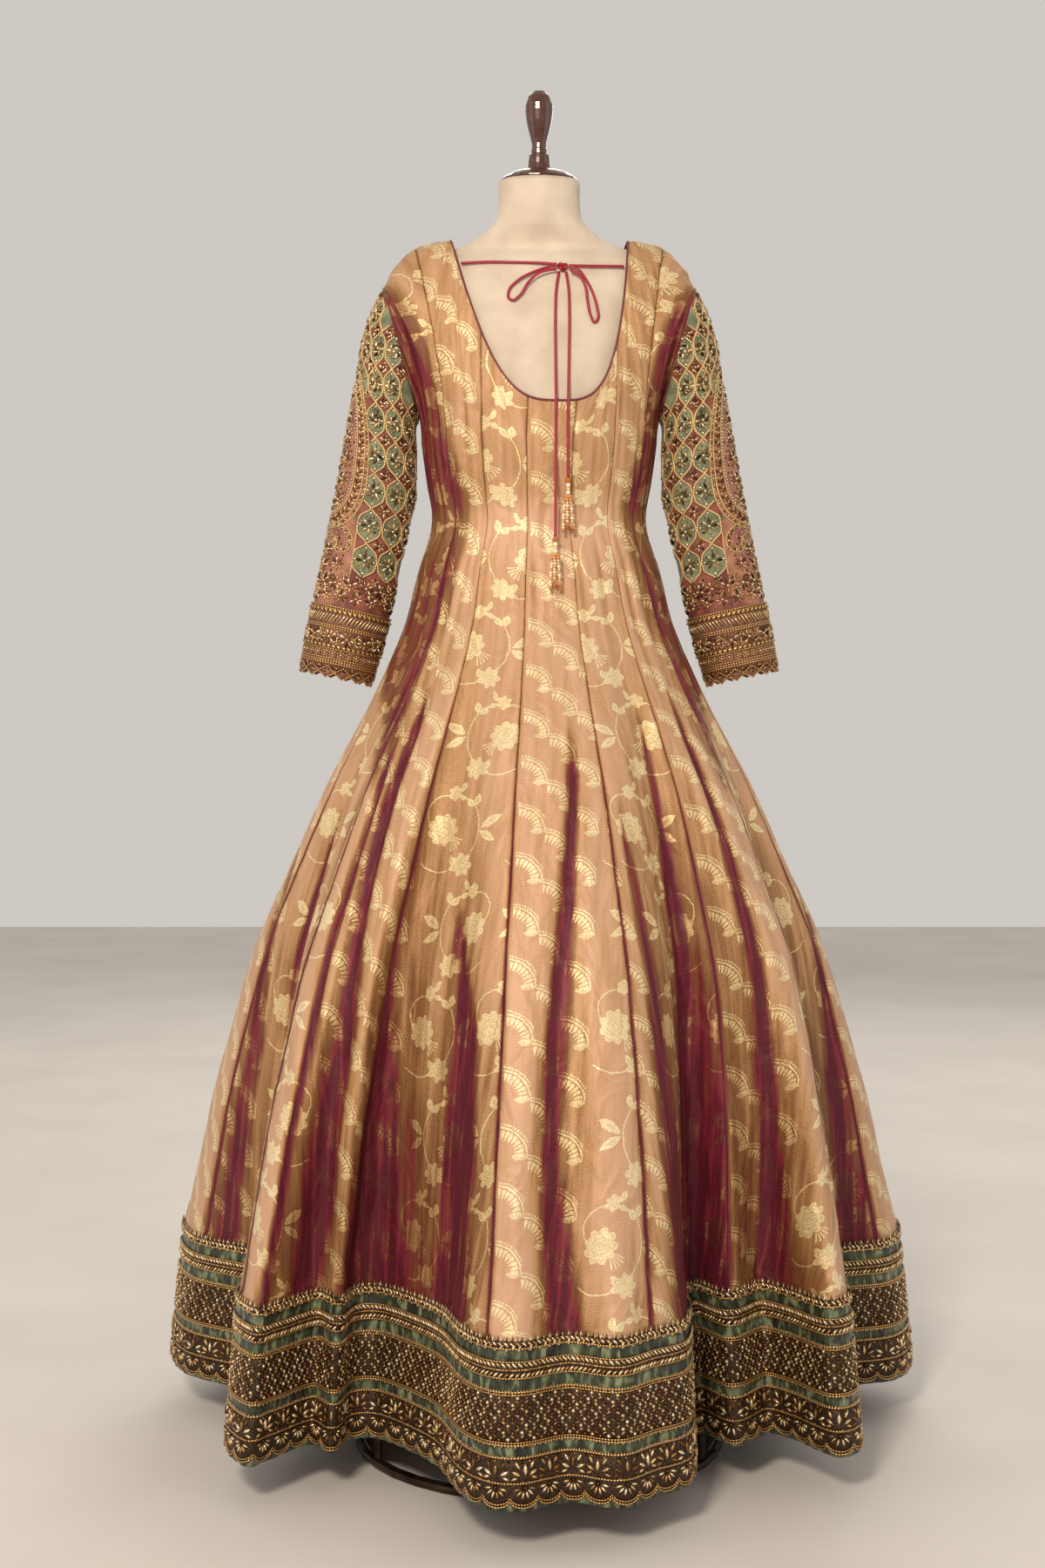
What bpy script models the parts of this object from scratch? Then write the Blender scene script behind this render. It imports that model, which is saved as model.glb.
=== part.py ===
"""Anarkali gown on a dress form with a ring-footed metal stand.

The gown is a thin shell of sixteen long kalis that run from the neck, shoulder
or armhole down to the hem, with a green hem band, four trims, two sleeves with
cuffs and a tied dori.  Everything is in metres, +Z up.  The origin is on the
floor under the neck; the gown's back, with its deep scoop, faces -Y.
"""
import math

import bmesh
import bpy
import numpy as np

# ---------------------------------------------------------------- dimensions
GAP = 0.0003            # clearance between pieces that touch
CLOTH = 0.0015          # wall of the brocade and of the sleeves
BAND_WALL = 0.0012      # green silk of the hem band
TRIM_WALL = 0.0016      # metallic trims and lace
HEM_Z = 0.055           # hem edge above the floor
BORDER = 0.184          # depth of the whole hem border
YOKE_Z = 1.25           # below this the gown is a closed round
KALIS = 16
COLUMNS = 6             # facets across one kali
TWIST = 5.0             # degrees the gown sits turned on the form
HEM_RADIUS = 0.456      # reach of a full fold at the top of the hem border
HEM_FLARE = 0.040       # how much wider the hem edge is than the border's top

KALI_DEG = 360.0 / KALIS
STEP_DEG = KALI_DEG / COLUMNS
BORDER_TOP = HEM_Z + BORDER

# height, half width, depth to the back, depth to the front
SECTIONS = np.array((
    (1.5065, 0.112, 0.020, 0.020),
    (1.5040, 0.130, 0.029, 0.029),
    (1.5000, 0.148, 0.037, 0.037),
    (1.4920, 0.163, 0.045, 0.045),
    (1.4800, 0.176, 0.054, 0.054),
    (1.4650, 0.188, 0.062, 0.062),
    (1.4470, 0.197, 0.069, 0.068),
    (1.4360, 0.211, 0.073, 0.072),
    (1.4070, 0.237, 0.081, 0.081),
    (1.3670, 0.228, 0.090, 0.095),
    (1.3270, 0.191, 0.097, 0.107),
    (1.2975, 0.162, 0.101, 0.115),
    (1.2870, 0.1545, 0.101, 0.116),
    (1.2700, 0.1512, 0.101, 0.117),
    (1.2500, 0.149, 0.101, 0.117),
    (1.2000, 0.142, 0.094, 0.108),
    (1.1380, 0.134, 0.086, 0.092),
    (1.0950, 0.151, 0.100, 0.105),
    (1.0260, 0.169, 0.128, 0.128),
    (0.9300, 0.211, 0.180, 0.178),
    (0.8200, 0.269, 0.246, 0.243),
    (0.7200, 0.314, 0.300, 0.298),
    (0.6200, 0.358, 0.348, 0.345),
    (0.5100, 0.391, 0.387, 0.384),
    (0.4100, 0.418, 0.416, 0.414),
    (0.3200, 0.437, 0.437, 0.435),
    (BORDER_TOP, HEM_RADIUS, HEM_RADIUS, HEM_RADIUS),
))[::-1]

# Where the hem lies in plan: column of the gown, bearing from the back
# centre (both degrees, right positive), reach as a share of a full fold, and
# the height at which that fold begins.
FOLDS = np.array((
    (-86.0, -99.8, 1.04, 1.00),
    (-79.0, -90.0, 0.95, 1.00),
    (-73.5, -82.3, 0.81, 1.05),
    (-68.0, -75.8, 0.72, 1.08),
    (-62.0, -64.1, 0.81, 1.05),
    (-57.0, -53.5, 0.96, 0.95),
    (-53.0, -45.4, 1.00, 0.90),
    (-48.0, -45.0, 0.94, 0.80),
    (-42.0, -45.6, 0.79, 0.75),
    (-38.0, -39.8, 0.80, 0.75),
    (-33.75, -42.9, 0.71, 0.95),
    (-29.0, -39.1, 0.65, 1.08),
    (-24.0, -27.6, 0.68, 1.05),
    (-19.0, -17.7, 0.77, 0.95),
    (-15.5, -12.1, 0.90, 0.85),
    (-11.25, -7.6, 0.98, 0.80),
    (-7.0, -3.6, 1.00, 0.80),
    (-1.0, 3.8, 0.94, 0.80),
    (5.0, 10.3, 0.99, 0.80),
    (11.25, 16.3, 0.94, 0.85),
    (15.0, 22.3, 0.90, 0.90),
    (18.5, 27.7, 0.79, 0.95),
    (23.0, 32.9, 0.66, 1.02),
    (28.0, 41.0, 0.62, 1.05),
    (33.75, 40.5, 0.74, 0.95),
    (40.0, 50.8, 0.74, 0.80),
    (45.0, 50.8, 0.82, 0.75),
    (51.0, 48.5, 0.97, 0.85),
    (56.25, 54.2, 0.97, 0.95),
    (62.0, 64.4, 0.82, 1.05),
    (68.0, 76.0, 0.73, 1.08),
    (74.0, 83.5, 0.83, 1.05),
    (80.0, 88.0, 0.97, 1.00),
    (86.0, 97.0, 1.04, 1.00),
    (93.00, 108.0, 1.03, 1.00),
    (104.0, 116.0, 0.76, 1.04),
    (116.25, 131.0, 1.00, 1.00),
    (127.50, 139.5, 0.77, 1.06),
    (138.75, 153.0, 1.01, 1.00),
    (150.00, 161.5, 0.79, 1.00),
    (161.25, 175.0, 1.00, 0.95),
    (172.50, 184.0, 0.78, 0.95),
    (183.75, 197.0, 1.01, 0.95),
    (195.00, 206.0, 0.77, 1.00),
    (206.25, 219.0, 1.00, 1.00),
    (217.50, 228.0, 0.78, 1.06),
    (228.75, 240.5, 1.01, 1.00),
    (239.0, 246.0, 0.76, 1.04),
    (250.0, 249.5, 0.90, 1.00),
    (258.0, 252.0, 0.97, 1.00),
    (267.0, 256.5, 1.03, 1.00),
))

# neck opening: half width at the shoulders, and its lowest point at the back
# (which sits a little to the right) and at the front
NECK_HALF = 0.112
NECK_TOP_Z = 1.5065
BACK_SCOOP_Z = 1.291
BACK_SCOOP_SHIFT = 0.023
BACK_SCOOP_POWER = 3.3
FRONT_SCOOP_Z = 1.372
FRONT_SCOOP_POWER = 2.6
NECK_COLUMNS = (0.0, 11.25, 33.75, 37.5, 41.25, 45.0)     # columns from the centre ...
NECK_SHARES = (0.0, 0.112, 0.495, 0.72, 0.90, 1.0)        # ... and where on the scoop they end
SHOULDER_DEG = 45.0                          # column at the neck end of the shoulder
TIP_DEG = 67.5                               # column at the shoulder tip
SIDE_DEG = 71.25                             # beyond this the cloth runs straight to the armhole

# armhole: an oval from the shoulder tip to the underarm
TIP = (0.197, 1.447)
UNDERARM = (0.152, 1.287)
ARMHOLE_HALF_DEPTH = 0.058
SLEEVE_SIDES = 12       # as many facets as the armhole has
SLEEVE_EASE = 0.0006    # the sleeve starts this far outside the armhole

# sleeve rings: outer x, outer z, inner x, inner z, half depth, forward shift
SLEEVE = np.array((
    (0.197, 1.447, 0.152, 1.287, 0.058, 0.000),
    (0.219, 1.392, 0.1555, 1.268, 0.056, 0.000),
    (0.230, 1.337, 0.1560, 1.243, 0.053, 0.001),
    (0.238, 1.293, 0.1560, 1.218, 0.050, 0.002),
    (0.247, 1.246, 0.1560, 1.190, 0.047, 0.003),
    (0.261, 1.174, 0.1640, 1.153, 0.043, 0.005),
    (0.270, 1.130, 0.1730, 1.111, 0.040, 0.006),
    (0.280, 1.083, 0.1830, 1.064, 0.037, 0.007),
    (0.287, 1.051, 0.1900, 1.032, 0.036, 0.008),
    (0.302, 0.974, 0.2120, 0.954, 0.035, 0.008),
))
CUFF_RING = 8           # the cuff band covers the sleeve from this ring down
CUFF_WALL = 0.0018
CUFF_POINT = 0.012      # depth of the pointed edging
CUFF_POINTS = 14

# trims on the hem band: lower and upper edge above the hem, and name
TRIMS = (
    ("lace_scallop", 0.006, 0.058),
    ("band_sequin", 0.069, 0.127),
    ("trim_leaf", 0.140, 0.159),
    ("trim_top", 0.171, 0.184),
)
BAND_TOP = 0.180        # green band's upper edge above the hem
KALI_UNDER = 0.004      # the brocade stops this far above the hem edge

PIPING_RADIUS = 0.0015
PIPING_CORNER = 0.0014  # the piping cuts each shoulder corner by this much
DORI_RADIUS = 0.00175

# dress form: height, half width, depth to the back, depth to the front
FORM = np.array((
    (0.860, 0.140, 0.116, 0.094),
    (0.880, 0.152, 0.124, 0.102),
    (0.950, 0.166, 0.128, 0.110),
    (1.030, 0.150, 0.112, 0.105),
    (1.095, 0.134, 0.090, 0.092),
    (1.138, 0.1285, 0.081, 0.087),
    (1.200, 0.137, 0.089, 0.103),
    (1.250, 0.144, 0.096, 0.112),
    (1.287, 0.148, 0.096, 0.111),
    (1.320, 0.156, 0.093, 0.105),
    (1.366, 0.164, 0.085, 0.091),
    (1.410, 0.175, 0.075, 0.075),
    (1.443, 0.184, 0.064, 0.063),
    (1.463, 0.177, 0.055, 0.055),
    (1.478, 0.163, 0.046, 0.046),
    (1.4860, 0.143, 0.036, 0.036),
    (1.4915, 0.123, 0.031, 0.031),
    (1.4965, 0.104, 0.030, 0.030),
    (1.5065, 0.083, 0.035, 0.035),
    (1.519, 0.066, 0.043, 0.043),
    (1.532, 0.055, 0.0435, 0.0435),
    (1.550, 0.052, 0.045, 0.045),
    (1.5785, 0.052, 0.047, 0.047),
))
FORM_SIDES = 24
FORM_BASE_Z = FORM[0, 0]

# turned parts: radius and height, from the top down
CAP_PROFILE = (
    (0.0000, 1.5935), (0.0200, 1.5930), (0.0330, 1.5905), (0.0430, 1.5860),
    (0.0488, 1.5815), (0.0500, 1.5795), (0.0500, 1.5788), (0.0000, 1.5788),
)
FINIAL_PROFILE = (
    (0.0000, 1.6950), (0.0080, 1.6925), (0.0140, 1.6865), (0.0175, 1.6760),
    (0.0176, 1.6680), (0.0160, 1.6550), (0.0135, 1.6440), (0.0105, 1.6330),
    (0.0092, 1.6270), (0.0092, 1.6215), (0.0100, 1.6200), (0.0100, 1.6150),
    (0.0130, 1.6130), (0.0137, 1.6080), (0.0142, 1.6020), (0.0152, 1.5965),
    (0.0185, 1.5955), (0.0190, 1.5938), (0.0000, 1.5938),
)
TURN_STEPS = 24

STAND_Y = -0.075        # the pole stands this far behind the neck's axis
RING_RADIUS = 0.225
RING_TUBE = 0.0065
RING_SIDES = 36
RING_FACETS = 10        # an even number that leaves one facet flat on the floor
POLE_RADIUS = 0.0125
HUB_RADIUS = 0.019
HUB_TOP = 0.250
HUB_LOW = 0.190
LEG_RADIUS = 0.0048
LEG_BEARINGS = (210.0, 330.0, 30.0, 150.0)

# ------------------------------------------------------------- small helpers


def smooth(xs, ys, x):
    """Cubic through the table (xs ascending, ys one or more columns) at x."""
    x = np.clip(x, xs[0], xs[-1])
    slopes = np.gradient(ys, xs, axis=0)
    i = np.clip(np.searchsorted(xs, x, side="right") - 1, 0, len(xs) - 2)
    width = xs[i + 1] - xs[i]
    t = (x - xs[i]) / width
    t, width = t[..., None], width[..., None]
    start, end = ys[i], ys[i + 1]
    rise, fall = slopes[i] * width, slopes[i + 1] * width
    return (start * (1 + 2 * t) * (1 - t) ** 2 + rise * t * (1 - t) ** 2
            + end * t * t * (3 - 2 * t) + fall * t * t * (t - 1))


def periodic(table, column_deg):
    """The fold table, repeated round the gown, at any column."""
    turns = np.vstack([table + (shift, shift, 0.0, 0.0) for shift in (-360.0, 0.0, 360.0)])
    bearing = np.radians(turns[:, 1])
    reach = turns[:, 2]
    plan = np.stack([reach * np.sin(bearing), -reach * np.cos(bearing), turns[:, 3]], axis=1)
    wrapped = (column_deg + 90.0) % 360.0 - 90.0
    return smooth(turns[:, 0], plan, wrapped)


def unit(v):
    """Vectors scaled to length one."""
    return v / np.linalg.norm(v, axis=-1, keepdims=True)


# ------------------------------------------------------------- gown's surface


def body_point(angle, z):
    """Smooth body: an ellipse at each height, flatter at the back than the front."""
    half, back, front = np.moveaxis(smooth(SECTIONS[:, 0], SECTIONS[:, 1:], z), -1, 0)
    depth = np.where(np.cos(angle) > 0, back, front)
    return np.stack([half * np.sin(angle), -depth * np.cos(angle), z], axis=-1)


def skirt_point(column_deg, z):
    """Body ellipse leaning towards the folded hem curve, the lower the more."""
    column_deg, z = np.broadcast_arrays(column_deg, z)
    upper = np.maximum(z, BORDER_TOP)
    point = body_point(np.radians(column_deg + TWIST), upper)
    fold = periodic(FOLDS, column_deg)
    half, back, front = np.moveaxis(smooth(SECTIONS[:, 0], SECTIONS[:, 1:], upper), -1, 0)
    folded_x = fold[..., 0] * half
    folded_y = fold[..., 1] * np.where(fold[..., 1] < 0, back, front)
    grow = np.clip((fold[..., 2] - upper) / (fold[..., 2] - BORDER_TOP), 0, 1) ** 1.15
    x = point[..., 0] + (folded_x - point[..., 0]) * grow
    y = point[..., 1] + (folded_y - point[..., 1]) * grow
    flare = 1 + HEM_FLARE * (upper - z) / BORDER
    return np.stack([x * flare, y * flare, z], axis=-1)


def on_body(x, z, front):
    """Angle of the body ellipse under a point seen square from the back or front."""
    half = smooth(SECTIONS[:, 0], SECTIONS[:, 1:], z)[..., 0]
    angle = np.arcsin(np.clip(x / half, -1, 1))
    return np.where(front, np.pi - angle, angle)


def scoop(share, front):
    """Neckline point at a share (-1 left shoulder, +1 right shoulder) of its length."""
    low = FRONT_SCOOP_Z if front else BACK_SCOOP_Z
    power = FRONT_SCOOP_POWER if front else BACK_SCOOP_POWER
    shift = 0.0 if front else BACK_SCOOP_SHIFT
    q = np.sin(np.linspace(-np.pi / 2, np.pi / 2, 241))
    x = shift * (1 - np.abs(q) ** 3) + NECK_HALF * q
    z = low + (NECK_TOP_Z - low) * np.abs(q) ** power
    length = np.concatenate([[0.0], np.cumsum(np.hypot(np.diff(x), np.diff(z)))])
    at = (share + 1) / 2 * length[-1]
    return np.interp(at, length, x), np.interp(at, length, z)


def fold_back(column_deg):
    """Column measured from the nearer of the back centre and the front centre."""
    signed = np.abs((column_deg + 180.0) % 360.0 - 180.0)
    return np.where(signed > 90.0, 180.0 - signed, signed)


def top_point(column_deg):
    """Upper end of a gown column: on the neckline, shoulder ridge or armhole."""
    signed = (column_deg + 180.0) % 360.0 - 180.0
    side = np.where(signed < 0, -1.0, 1.0)
    front = np.abs(signed) > 90.0
    v = fold_back(column_deg)
    share = side * np.interp(v, NECK_COLUMNS, NECK_SHARES)
    back_x, back_z = scoop(share, False)
    front_x, front_z = scoop(share, True)
    x = np.where(front, front_x, back_x)
    z = np.where(front, front_z, back_z)
    # along the shoulder the column ends on the ridge, where the body's side is
    along_ridge = np.clip((v - SHOULDER_DEG) / (TIP_DEG - SHOULDER_DEG), 0, 1)
    ridge_half = NECK_HALF + (TIP[0] - NECK_HALF) * along_ridge
    ridge_z = np.interp(ridge_half, SECTIONS[::-1, 1][:7], SECTIONS[::-1, 0][:7])
    ridge = v > SHOULDER_DEG
    x = np.where(ridge, side * ridge_half, x)
    z = np.where(ridge, ridge_z, z)
    angle = on_body(x, z, front)
    angle = np.where(ridge, side * np.pi / 2, angle)
    point = body_point(angle, z)
    # round the armhole it ends on the oval
    turn = np.pi * np.clip((v - TIP_DEG) / (90.0 - TIP_DEG), 0, 1)
    oval_x = (TIP[0] + UNDERARM[0]) / 2 + np.cos(turn) * (TIP[0] - UNDERARM[0]) / 2
    oval_z = (TIP[1] + UNDERARM[1]) / 2 + np.cos(turn) * (TIP[1] - UNDERARM[1]) / 2
    oval_y = np.where(front, 1.0, -1.0) * np.sin(turn) * ARMHOLE_HALF_DEPTH
    oval = np.stack([side * oval_x, oval_y, oval_z], axis=-1)
    return np.where((v > TIP_DEG)[..., None], oval, point)


def gown_point(column_deg, level):
    """Outer face of the gown.

    A level below zero is metres under the yoke line; a level from 0 to 1 is the
    share of the way from the yoke line to the neck, shoulder or armhole.
    """
    column_deg, level = np.broadcast_arrays(
        np.asarray(column_deg, float), np.asarray(level, float))
    lower = skirt_point(column_deg, YOKE_Z + np.minimum(level, 0.0))
    share = np.clip(level, 0.0, 1.0)
    top = top_point(column_deg)
    base_angle = np.radians(column_deg + TWIST)
    z = YOKE_Z + (top[..., 2] - YOKE_Z) * share
    front = np.cos(base_angle) < 0
    base = body_point(base_angle, np.full(z.shape, YOKE_Z))
    # seen square on, the columns run straight up to the neck, and those that
    # end on the shoulder or armhole swing out only near the top
    v = fold_back(column_deg)
    swing = 1 + np.clip((v - SHOULDER_DEG) / (TIP_DEG - SHOULDER_DEG), 0, 1)
    x = base[..., 0] + (top[..., 0] - base[..., 0]) * share ** swing
    yoke = body_point(on_body(x, z, front), z)
    miss = top - body_point(on_body(top[..., 0], top[..., 2], front), top[..., 2])
    yoke = yoke + miss * (share ** 2)[..., None]
    # at the side the cloth is drawn straight up to the underarm
    side = np.clip((v - SIDE_DEG) / (2 * STEP_DEG), 0, 1)
    drawn = base[..., 1] + (top[..., 1] - base[..., 1]) * share
    yoke[..., 1] += (drawn - yoke[..., 1]) * side
    return np.where((level > 0)[..., None], yoke, lower)


def gown_frame(column_deg, level, upright=False):
    """Point, outward step and tangent across the columns.

    The outward step is mitred between the facets left and right of the point,
    so one unit of it moves both facets out by one unit.
    """
    rise = 0.002
    point = gown_point(column_deg, level)
    before = point - gown_point(column_deg - STEP_DEG, level)
    after = gown_point(column_deg + STEP_DEG, level) - point
    if upright:
        up = np.array((0.0, 0.0, 1.0))
    else:
        up = gown_point(column_deg, level + rise) - gown_point(column_deg, level - rise)
    left = unit(np.cross(before, up))
    right = unit(np.cross(after, up))
    fold = np.sum(left * right, axis=-1, keepdims=True)
    outward = (left + right) / np.maximum(1 + fold, 0.7)
    return point, outward, unit(before + after)


def sleeve_point(side, ring, turn):
    """Outer face of a sleeve: ovals between its outer and inner edge lines.

    The turn is 0 on the outer edge, a quarter at the back, a half inside.
    """
    ring, turn = np.broadcast_arrays(np.asarray(ring, float), np.asarray(turn, float))
    row = smooth(np.arange(len(SLEEVE), dtype=float), SLEEVE, ring)
    out_x, out_z, in_x, in_z, half, forward = np.moveaxis(row, -1, 0)
    c, s = np.cos(2 * np.pi * turn), np.sin(2 * np.pi * turn)
    x = (out_x + in_x) / 2 + c * (out_x - in_x) / 2 + SLEEVE_EASE
    z = (out_z + in_z) / 2 + c * (out_z - in_z) / 2
    y = forward - s * half
    return np.stack([side * x, y, z], axis=-1)


# ------------------------------------------------------------ mesh builders


def new_object(name, mesh, material, collection):
    """Put a finished mesh in the model as one named sub-part."""
    mesh.materials.append(material)
    mesh.update()
    obj = bpy.data.objects.new(name, mesh)
    collection.objects.link(obj)
    return obj


def shade_round(mesh, degrees):
    """Smooth shading that keeps edges sharper than the angle."""
    mesh.shade_smooth()
    mesh.set_sharp_from_angle(angle=math.radians(degrees))


def wall(name, outer, inner, material, collection, ring=False):
    """Closed solid between two grids of the same size, with its rims.

    Grids run upwards by row and, seen from outside, to the right by column;
    a ring joins its last column to its first.
    """
    rows, cols = outer.shape[:2]
    points = np.concatenate([outer.reshape(-1, 3), inner.reshape(-1, 3)])
    grid = np.arange(rows * cols).reshape(rows, cols)
    if ring:
        grid = np.concatenate([grid, grid[:, :1]], axis=1)
    back = grid + rows * cols

    def quads(a, b, c, d):
        return np.stack([a.ravel(), b.ravel(), c.ravel(), d.ravel()], axis=1)

    faces = [
        quads(grid[:-1, :-1], grid[:-1, 1:], grid[1:, 1:], grid[1:, :-1]),
        quads(back[:-1, :-1], back[1:, :-1], back[1:, 1:], back[:-1, 1:]),
        quads(grid[0, :-1], back[0, :-1], back[0, 1:], grid[0, 1:]),
        quads(grid[-1, :-1], grid[-1, 1:], back[-1, 1:], back[-1, :-1]),
    ]
    if not ring:
        faces.append(quads(grid[:-1, 0], grid[1:, 0], back[1:, 0], back[:-1, 0]))
        faces.append(quads(grid[:-1, -1], back[:-1, -1], back[1:, -1], grid[1:, -1]))
    mesh = bpy.data.meshes.new(name)
    mesh.from_pydata(points.tolist(), [], np.concatenate(faces).tolist())
    shade_round(mesh, 40)
    return new_object(name, mesh, material, collection)


def loft(name, rings, material, collection):
    """Closed solid through rings listed from the bottom up, with flat ends."""
    bm = bmesh.new()
    rows = [[bm.verts.new(p) for p in ring] for ring in rings]
    count = len(rows[0])
    for low, high in zip(rows[:-1], rows[1:]):
        for i in range(count):
            j = (i + 1) % count
            bm.faces.new((low[i], low[j], high[j], high[i]))
    bm.faces.new(rows[0][::-1])
    bm.faces.new(rows[-1])
    mesh = bpy.data.meshes.new(name)
    bm.to_mesh(mesh)
    bm.free()
    shade_round(mesh, 50)
    return new_object(name, mesh, material, collection)


def turned(name, profile, material, collection, axis_y=0.0):
    """Solid of revolution from a profile of (radius, height), top to bottom."""
    mesh = bpy.data.meshes.new(name)
    points = [(radius, 0.0, height) for radius, height in profile]
    mesh.from_pydata(points, [(i, i + 1) for i in range(len(points) - 1)], [])
    obj = new_object(name, mesh, material, collection)
    obj.location = (0.0, axis_y, 0.0)
    screw = obj.modifiers.new("turn", "SCREW")
    screw.steps = TURN_STEPS
    screw.render_steps = TURN_STEPS
    screw.use_merge_vertices = True
    screw.merge_threshold = 0.00005
    screw.use_smooth_shade = True
    return obj


def tube(name, route, radius, material, collection, closed=False, resolution=2):
    """Round tube along a list of points, with filled ends."""
    curve = bpy.data.curves.new(name, "CURVE")
    curve.dimensions = "3D"
    curve.bevel_depth = radius
    curve.bevel_resolution = resolution
    curve.use_fill_caps = not closed
    curve.resolution_u = 1
    curve.render_resolution_u = 0
    spline = curve.splines.new("POLY")
    spline.points.add(len(route) - 1)
    for item, p in zip(spline.points, route):
        item.co = (*p, 1.0)
    spline.use_cyclic_u = closed
    curve.materials.append(material)
    obj = bpy.data.objects.new(name, curve)
    collection.objects.link(obj)
    return obj


def along(route, spacing):
    """Evenly spaced points on a smooth curve through the route's own points."""
    route = np.asarray(route, float)
    chord = np.concatenate([[0.0], np.cumsum(np.linalg.norm(np.diff(route, axis=0), axis=1))])
    fine = smooth(chord, route, np.linspace(0, chord[-1], 400))
    length = np.concatenate([[0.0], np.cumsum(np.linalg.norm(np.diff(fine, axis=0), axis=1))])
    count = max(2, int(round(length[-1] / spacing)) + 1)
    at = np.linspace(0, length[-1], count)
    return np.stack([np.interp(at, length, fine[:, k]) for k in range(3)], axis=1)


def surface_finish(name, colour, roughness, metallic=0.0):
    """Principled material from an sRGB colour written as three bytes."""
    linear = [((c / 255 + 0.055) / 1.055) ** 2.4 if c > 10 else c / 255 / 12.92 for c in colour]
    material = bpy.data.materials.new(name)
    material.use_nodes = True
    shader = material.node_tree.nodes["Principled BSDF"]
    shader.inputs["Base Color"].default_value = (*linear, 1.0)
    shader.inputs["Roughness"].default_value = roughness
    shader.inputs["Metallic"].default_value = metallic
    return material


# -------------------------------------------------------------------- pieces

LEVELS = np.concatenate([
    np.array((HEM_Z + KALI_UNDER, BORDER_TOP, 0.34, 0.55, 0.80, 1.00, 1.138)) - YOKE_Z,
    np.array((0.0, 0.25, 0.50, 0.72, 0.88, 0.965, 1.0)),
])


def clear_of_armhole(normal, side):
    """Outward steps without the part that would push the inner face into a sleeve."""
    out_x, out_z = unit(np.array((TIP[1] - UNDERARM[1], UNDERARM[0] - TIP[0])))
    plane = np.stack([side * out_x, 0 * side, np.full(side.shape, out_z)], axis=-1)
    into = np.minimum(np.sum(normal * plane, axis=-1, keepdims=True), 0.0)
    return np.where(into < 0, unit(normal - into * plane), normal)


def kali(index, material, collection):
    """One long panel of the gown, hem to top, with half a seam gap each side."""
    columns = (index - 0.5) * KALI_DEG + np.arange(COLUMNS + 1) * STEP_DEG
    grid_column, grid_level = np.meshgrid(columns, LEVELS)
    point, normal, across = gown_frame(grid_column, grid_level)
    # on the shoulder ridge the cloth's normal has no part towards the back or front
    v = fold_back(grid_column)
    ridge = (grid_level == 1.0) & (v >= SHOULDER_DEG - 0.01) & (v <= TIP_DEG + 0.01)
    flat = unit(normal * (1.0, 0.0, 1.0))
    normal = np.where(ridge[..., None], flat, normal)
    # beside an armhole the cloth's thickness never reaches into the sleeve
    normal = np.where(((v > TIP_DEG) & (grid_level > 0.8))[..., None],
                      clear_of_armhole(normal, np.sign(point[..., 0])), normal)
    inner = point - normal * CLOTH
    shift = np.zeros_like(point)
    shift[:, 0] = across[:, 0] * GAP / 2
    shift[:, -1] = -across[:, -1] * GAP / 2
    seam_side = np.where(np.cos(np.radians(grid_column)) < 0, GAP / 2, -GAP / 2)
    shift[..., 1] += np.where(ridge, seam_side, 0.0)
    wall(f"kali_{index:02d}", point + shift, inner + shift, material, collection)


def hem_ring(name, low, high, lift, thick, material, collection):
    """A band round the hem: the gown's own points moved out by its lift."""
    columns = np.arange(KALIS * COLUMNS) * STEP_DEG - KALI_DEG / 2
    levels = np.array((low, high)) + HEM_Z - YOKE_Z
    grid_column, grid_level = np.meshgrid(columns, levels)
    point, normal, _ = gown_frame(grid_column, grid_level, upright=True)
    wall(name, point + normal * (lift + thick), point + normal * lift,
         material, collection, ring=True)


def neck_piping(material, collection):
    """Cord piping round the neck opening, back scoop and then front scoop."""
    span = np.arange(STEP_DEG - SHOULDER_DEG, SHOULDER_DEG, STEP_DEG)
    columns = np.concatenate([span, [SHOULDER_DEG], 180.0 + span, [-SHOULDER_DEG]])
    _, normal, _ = gown_frame(columns, 1.0)
    corner = np.abs(columns) == SHOULDER_DEG
    normal[corner, 1] = 0.0
    edge = gown_point(columns, 1.0) - normal * CLOTH / 2
    hanging = gown_point(columns, 0.97) - gown_point(columns, 1.0)
    # beyond each stretch of the edge, in the cloth's own plane and square to the edge
    chord = unit(np.roll(edge, -1, axis=0) - edge)
    drop = hanging + np.roll(hanging, -1, axis=0)
    beyond = -unit(drop - chord * np.sum(drop * chord, axis=1, keepdims=True))
    before = np.roll(beyond, 1, axis=0)
    mitre = (before + beyond) / (1 + np.sum(before * beyond, axis=1, keepdims=True))
    loop = edge + mitre * (PIPING_RADIUS + 2 * GAP)
    loop[corner] += np.sign(loop[corner]) * (-PIPING_CORNER, 0.0, PIPING_CORNER / 2)
    tube("neck_piping", loop, PIPING_RADIUS, material, collection, closed=True, resolution=1)


def sleeve(side, name, silk, cuff, edge, collection):
    """Sleeve tube, the cuff band over its end and the pointed edging below it."""
    last = len(SLEEVE) - 1
    sleeve_wall(side, f"sleeve_{name}", np.arange(last + 1), -CLOTH, CLOTH, silk, collection)
    sleeve_wall(side, f"cuff_{name}", (CUFF_RING, last), GAP, CUFF_WALL, cuff, collection)
    pointed_edge(side, f"cuff_edge_{name}", edge, collection)


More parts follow.
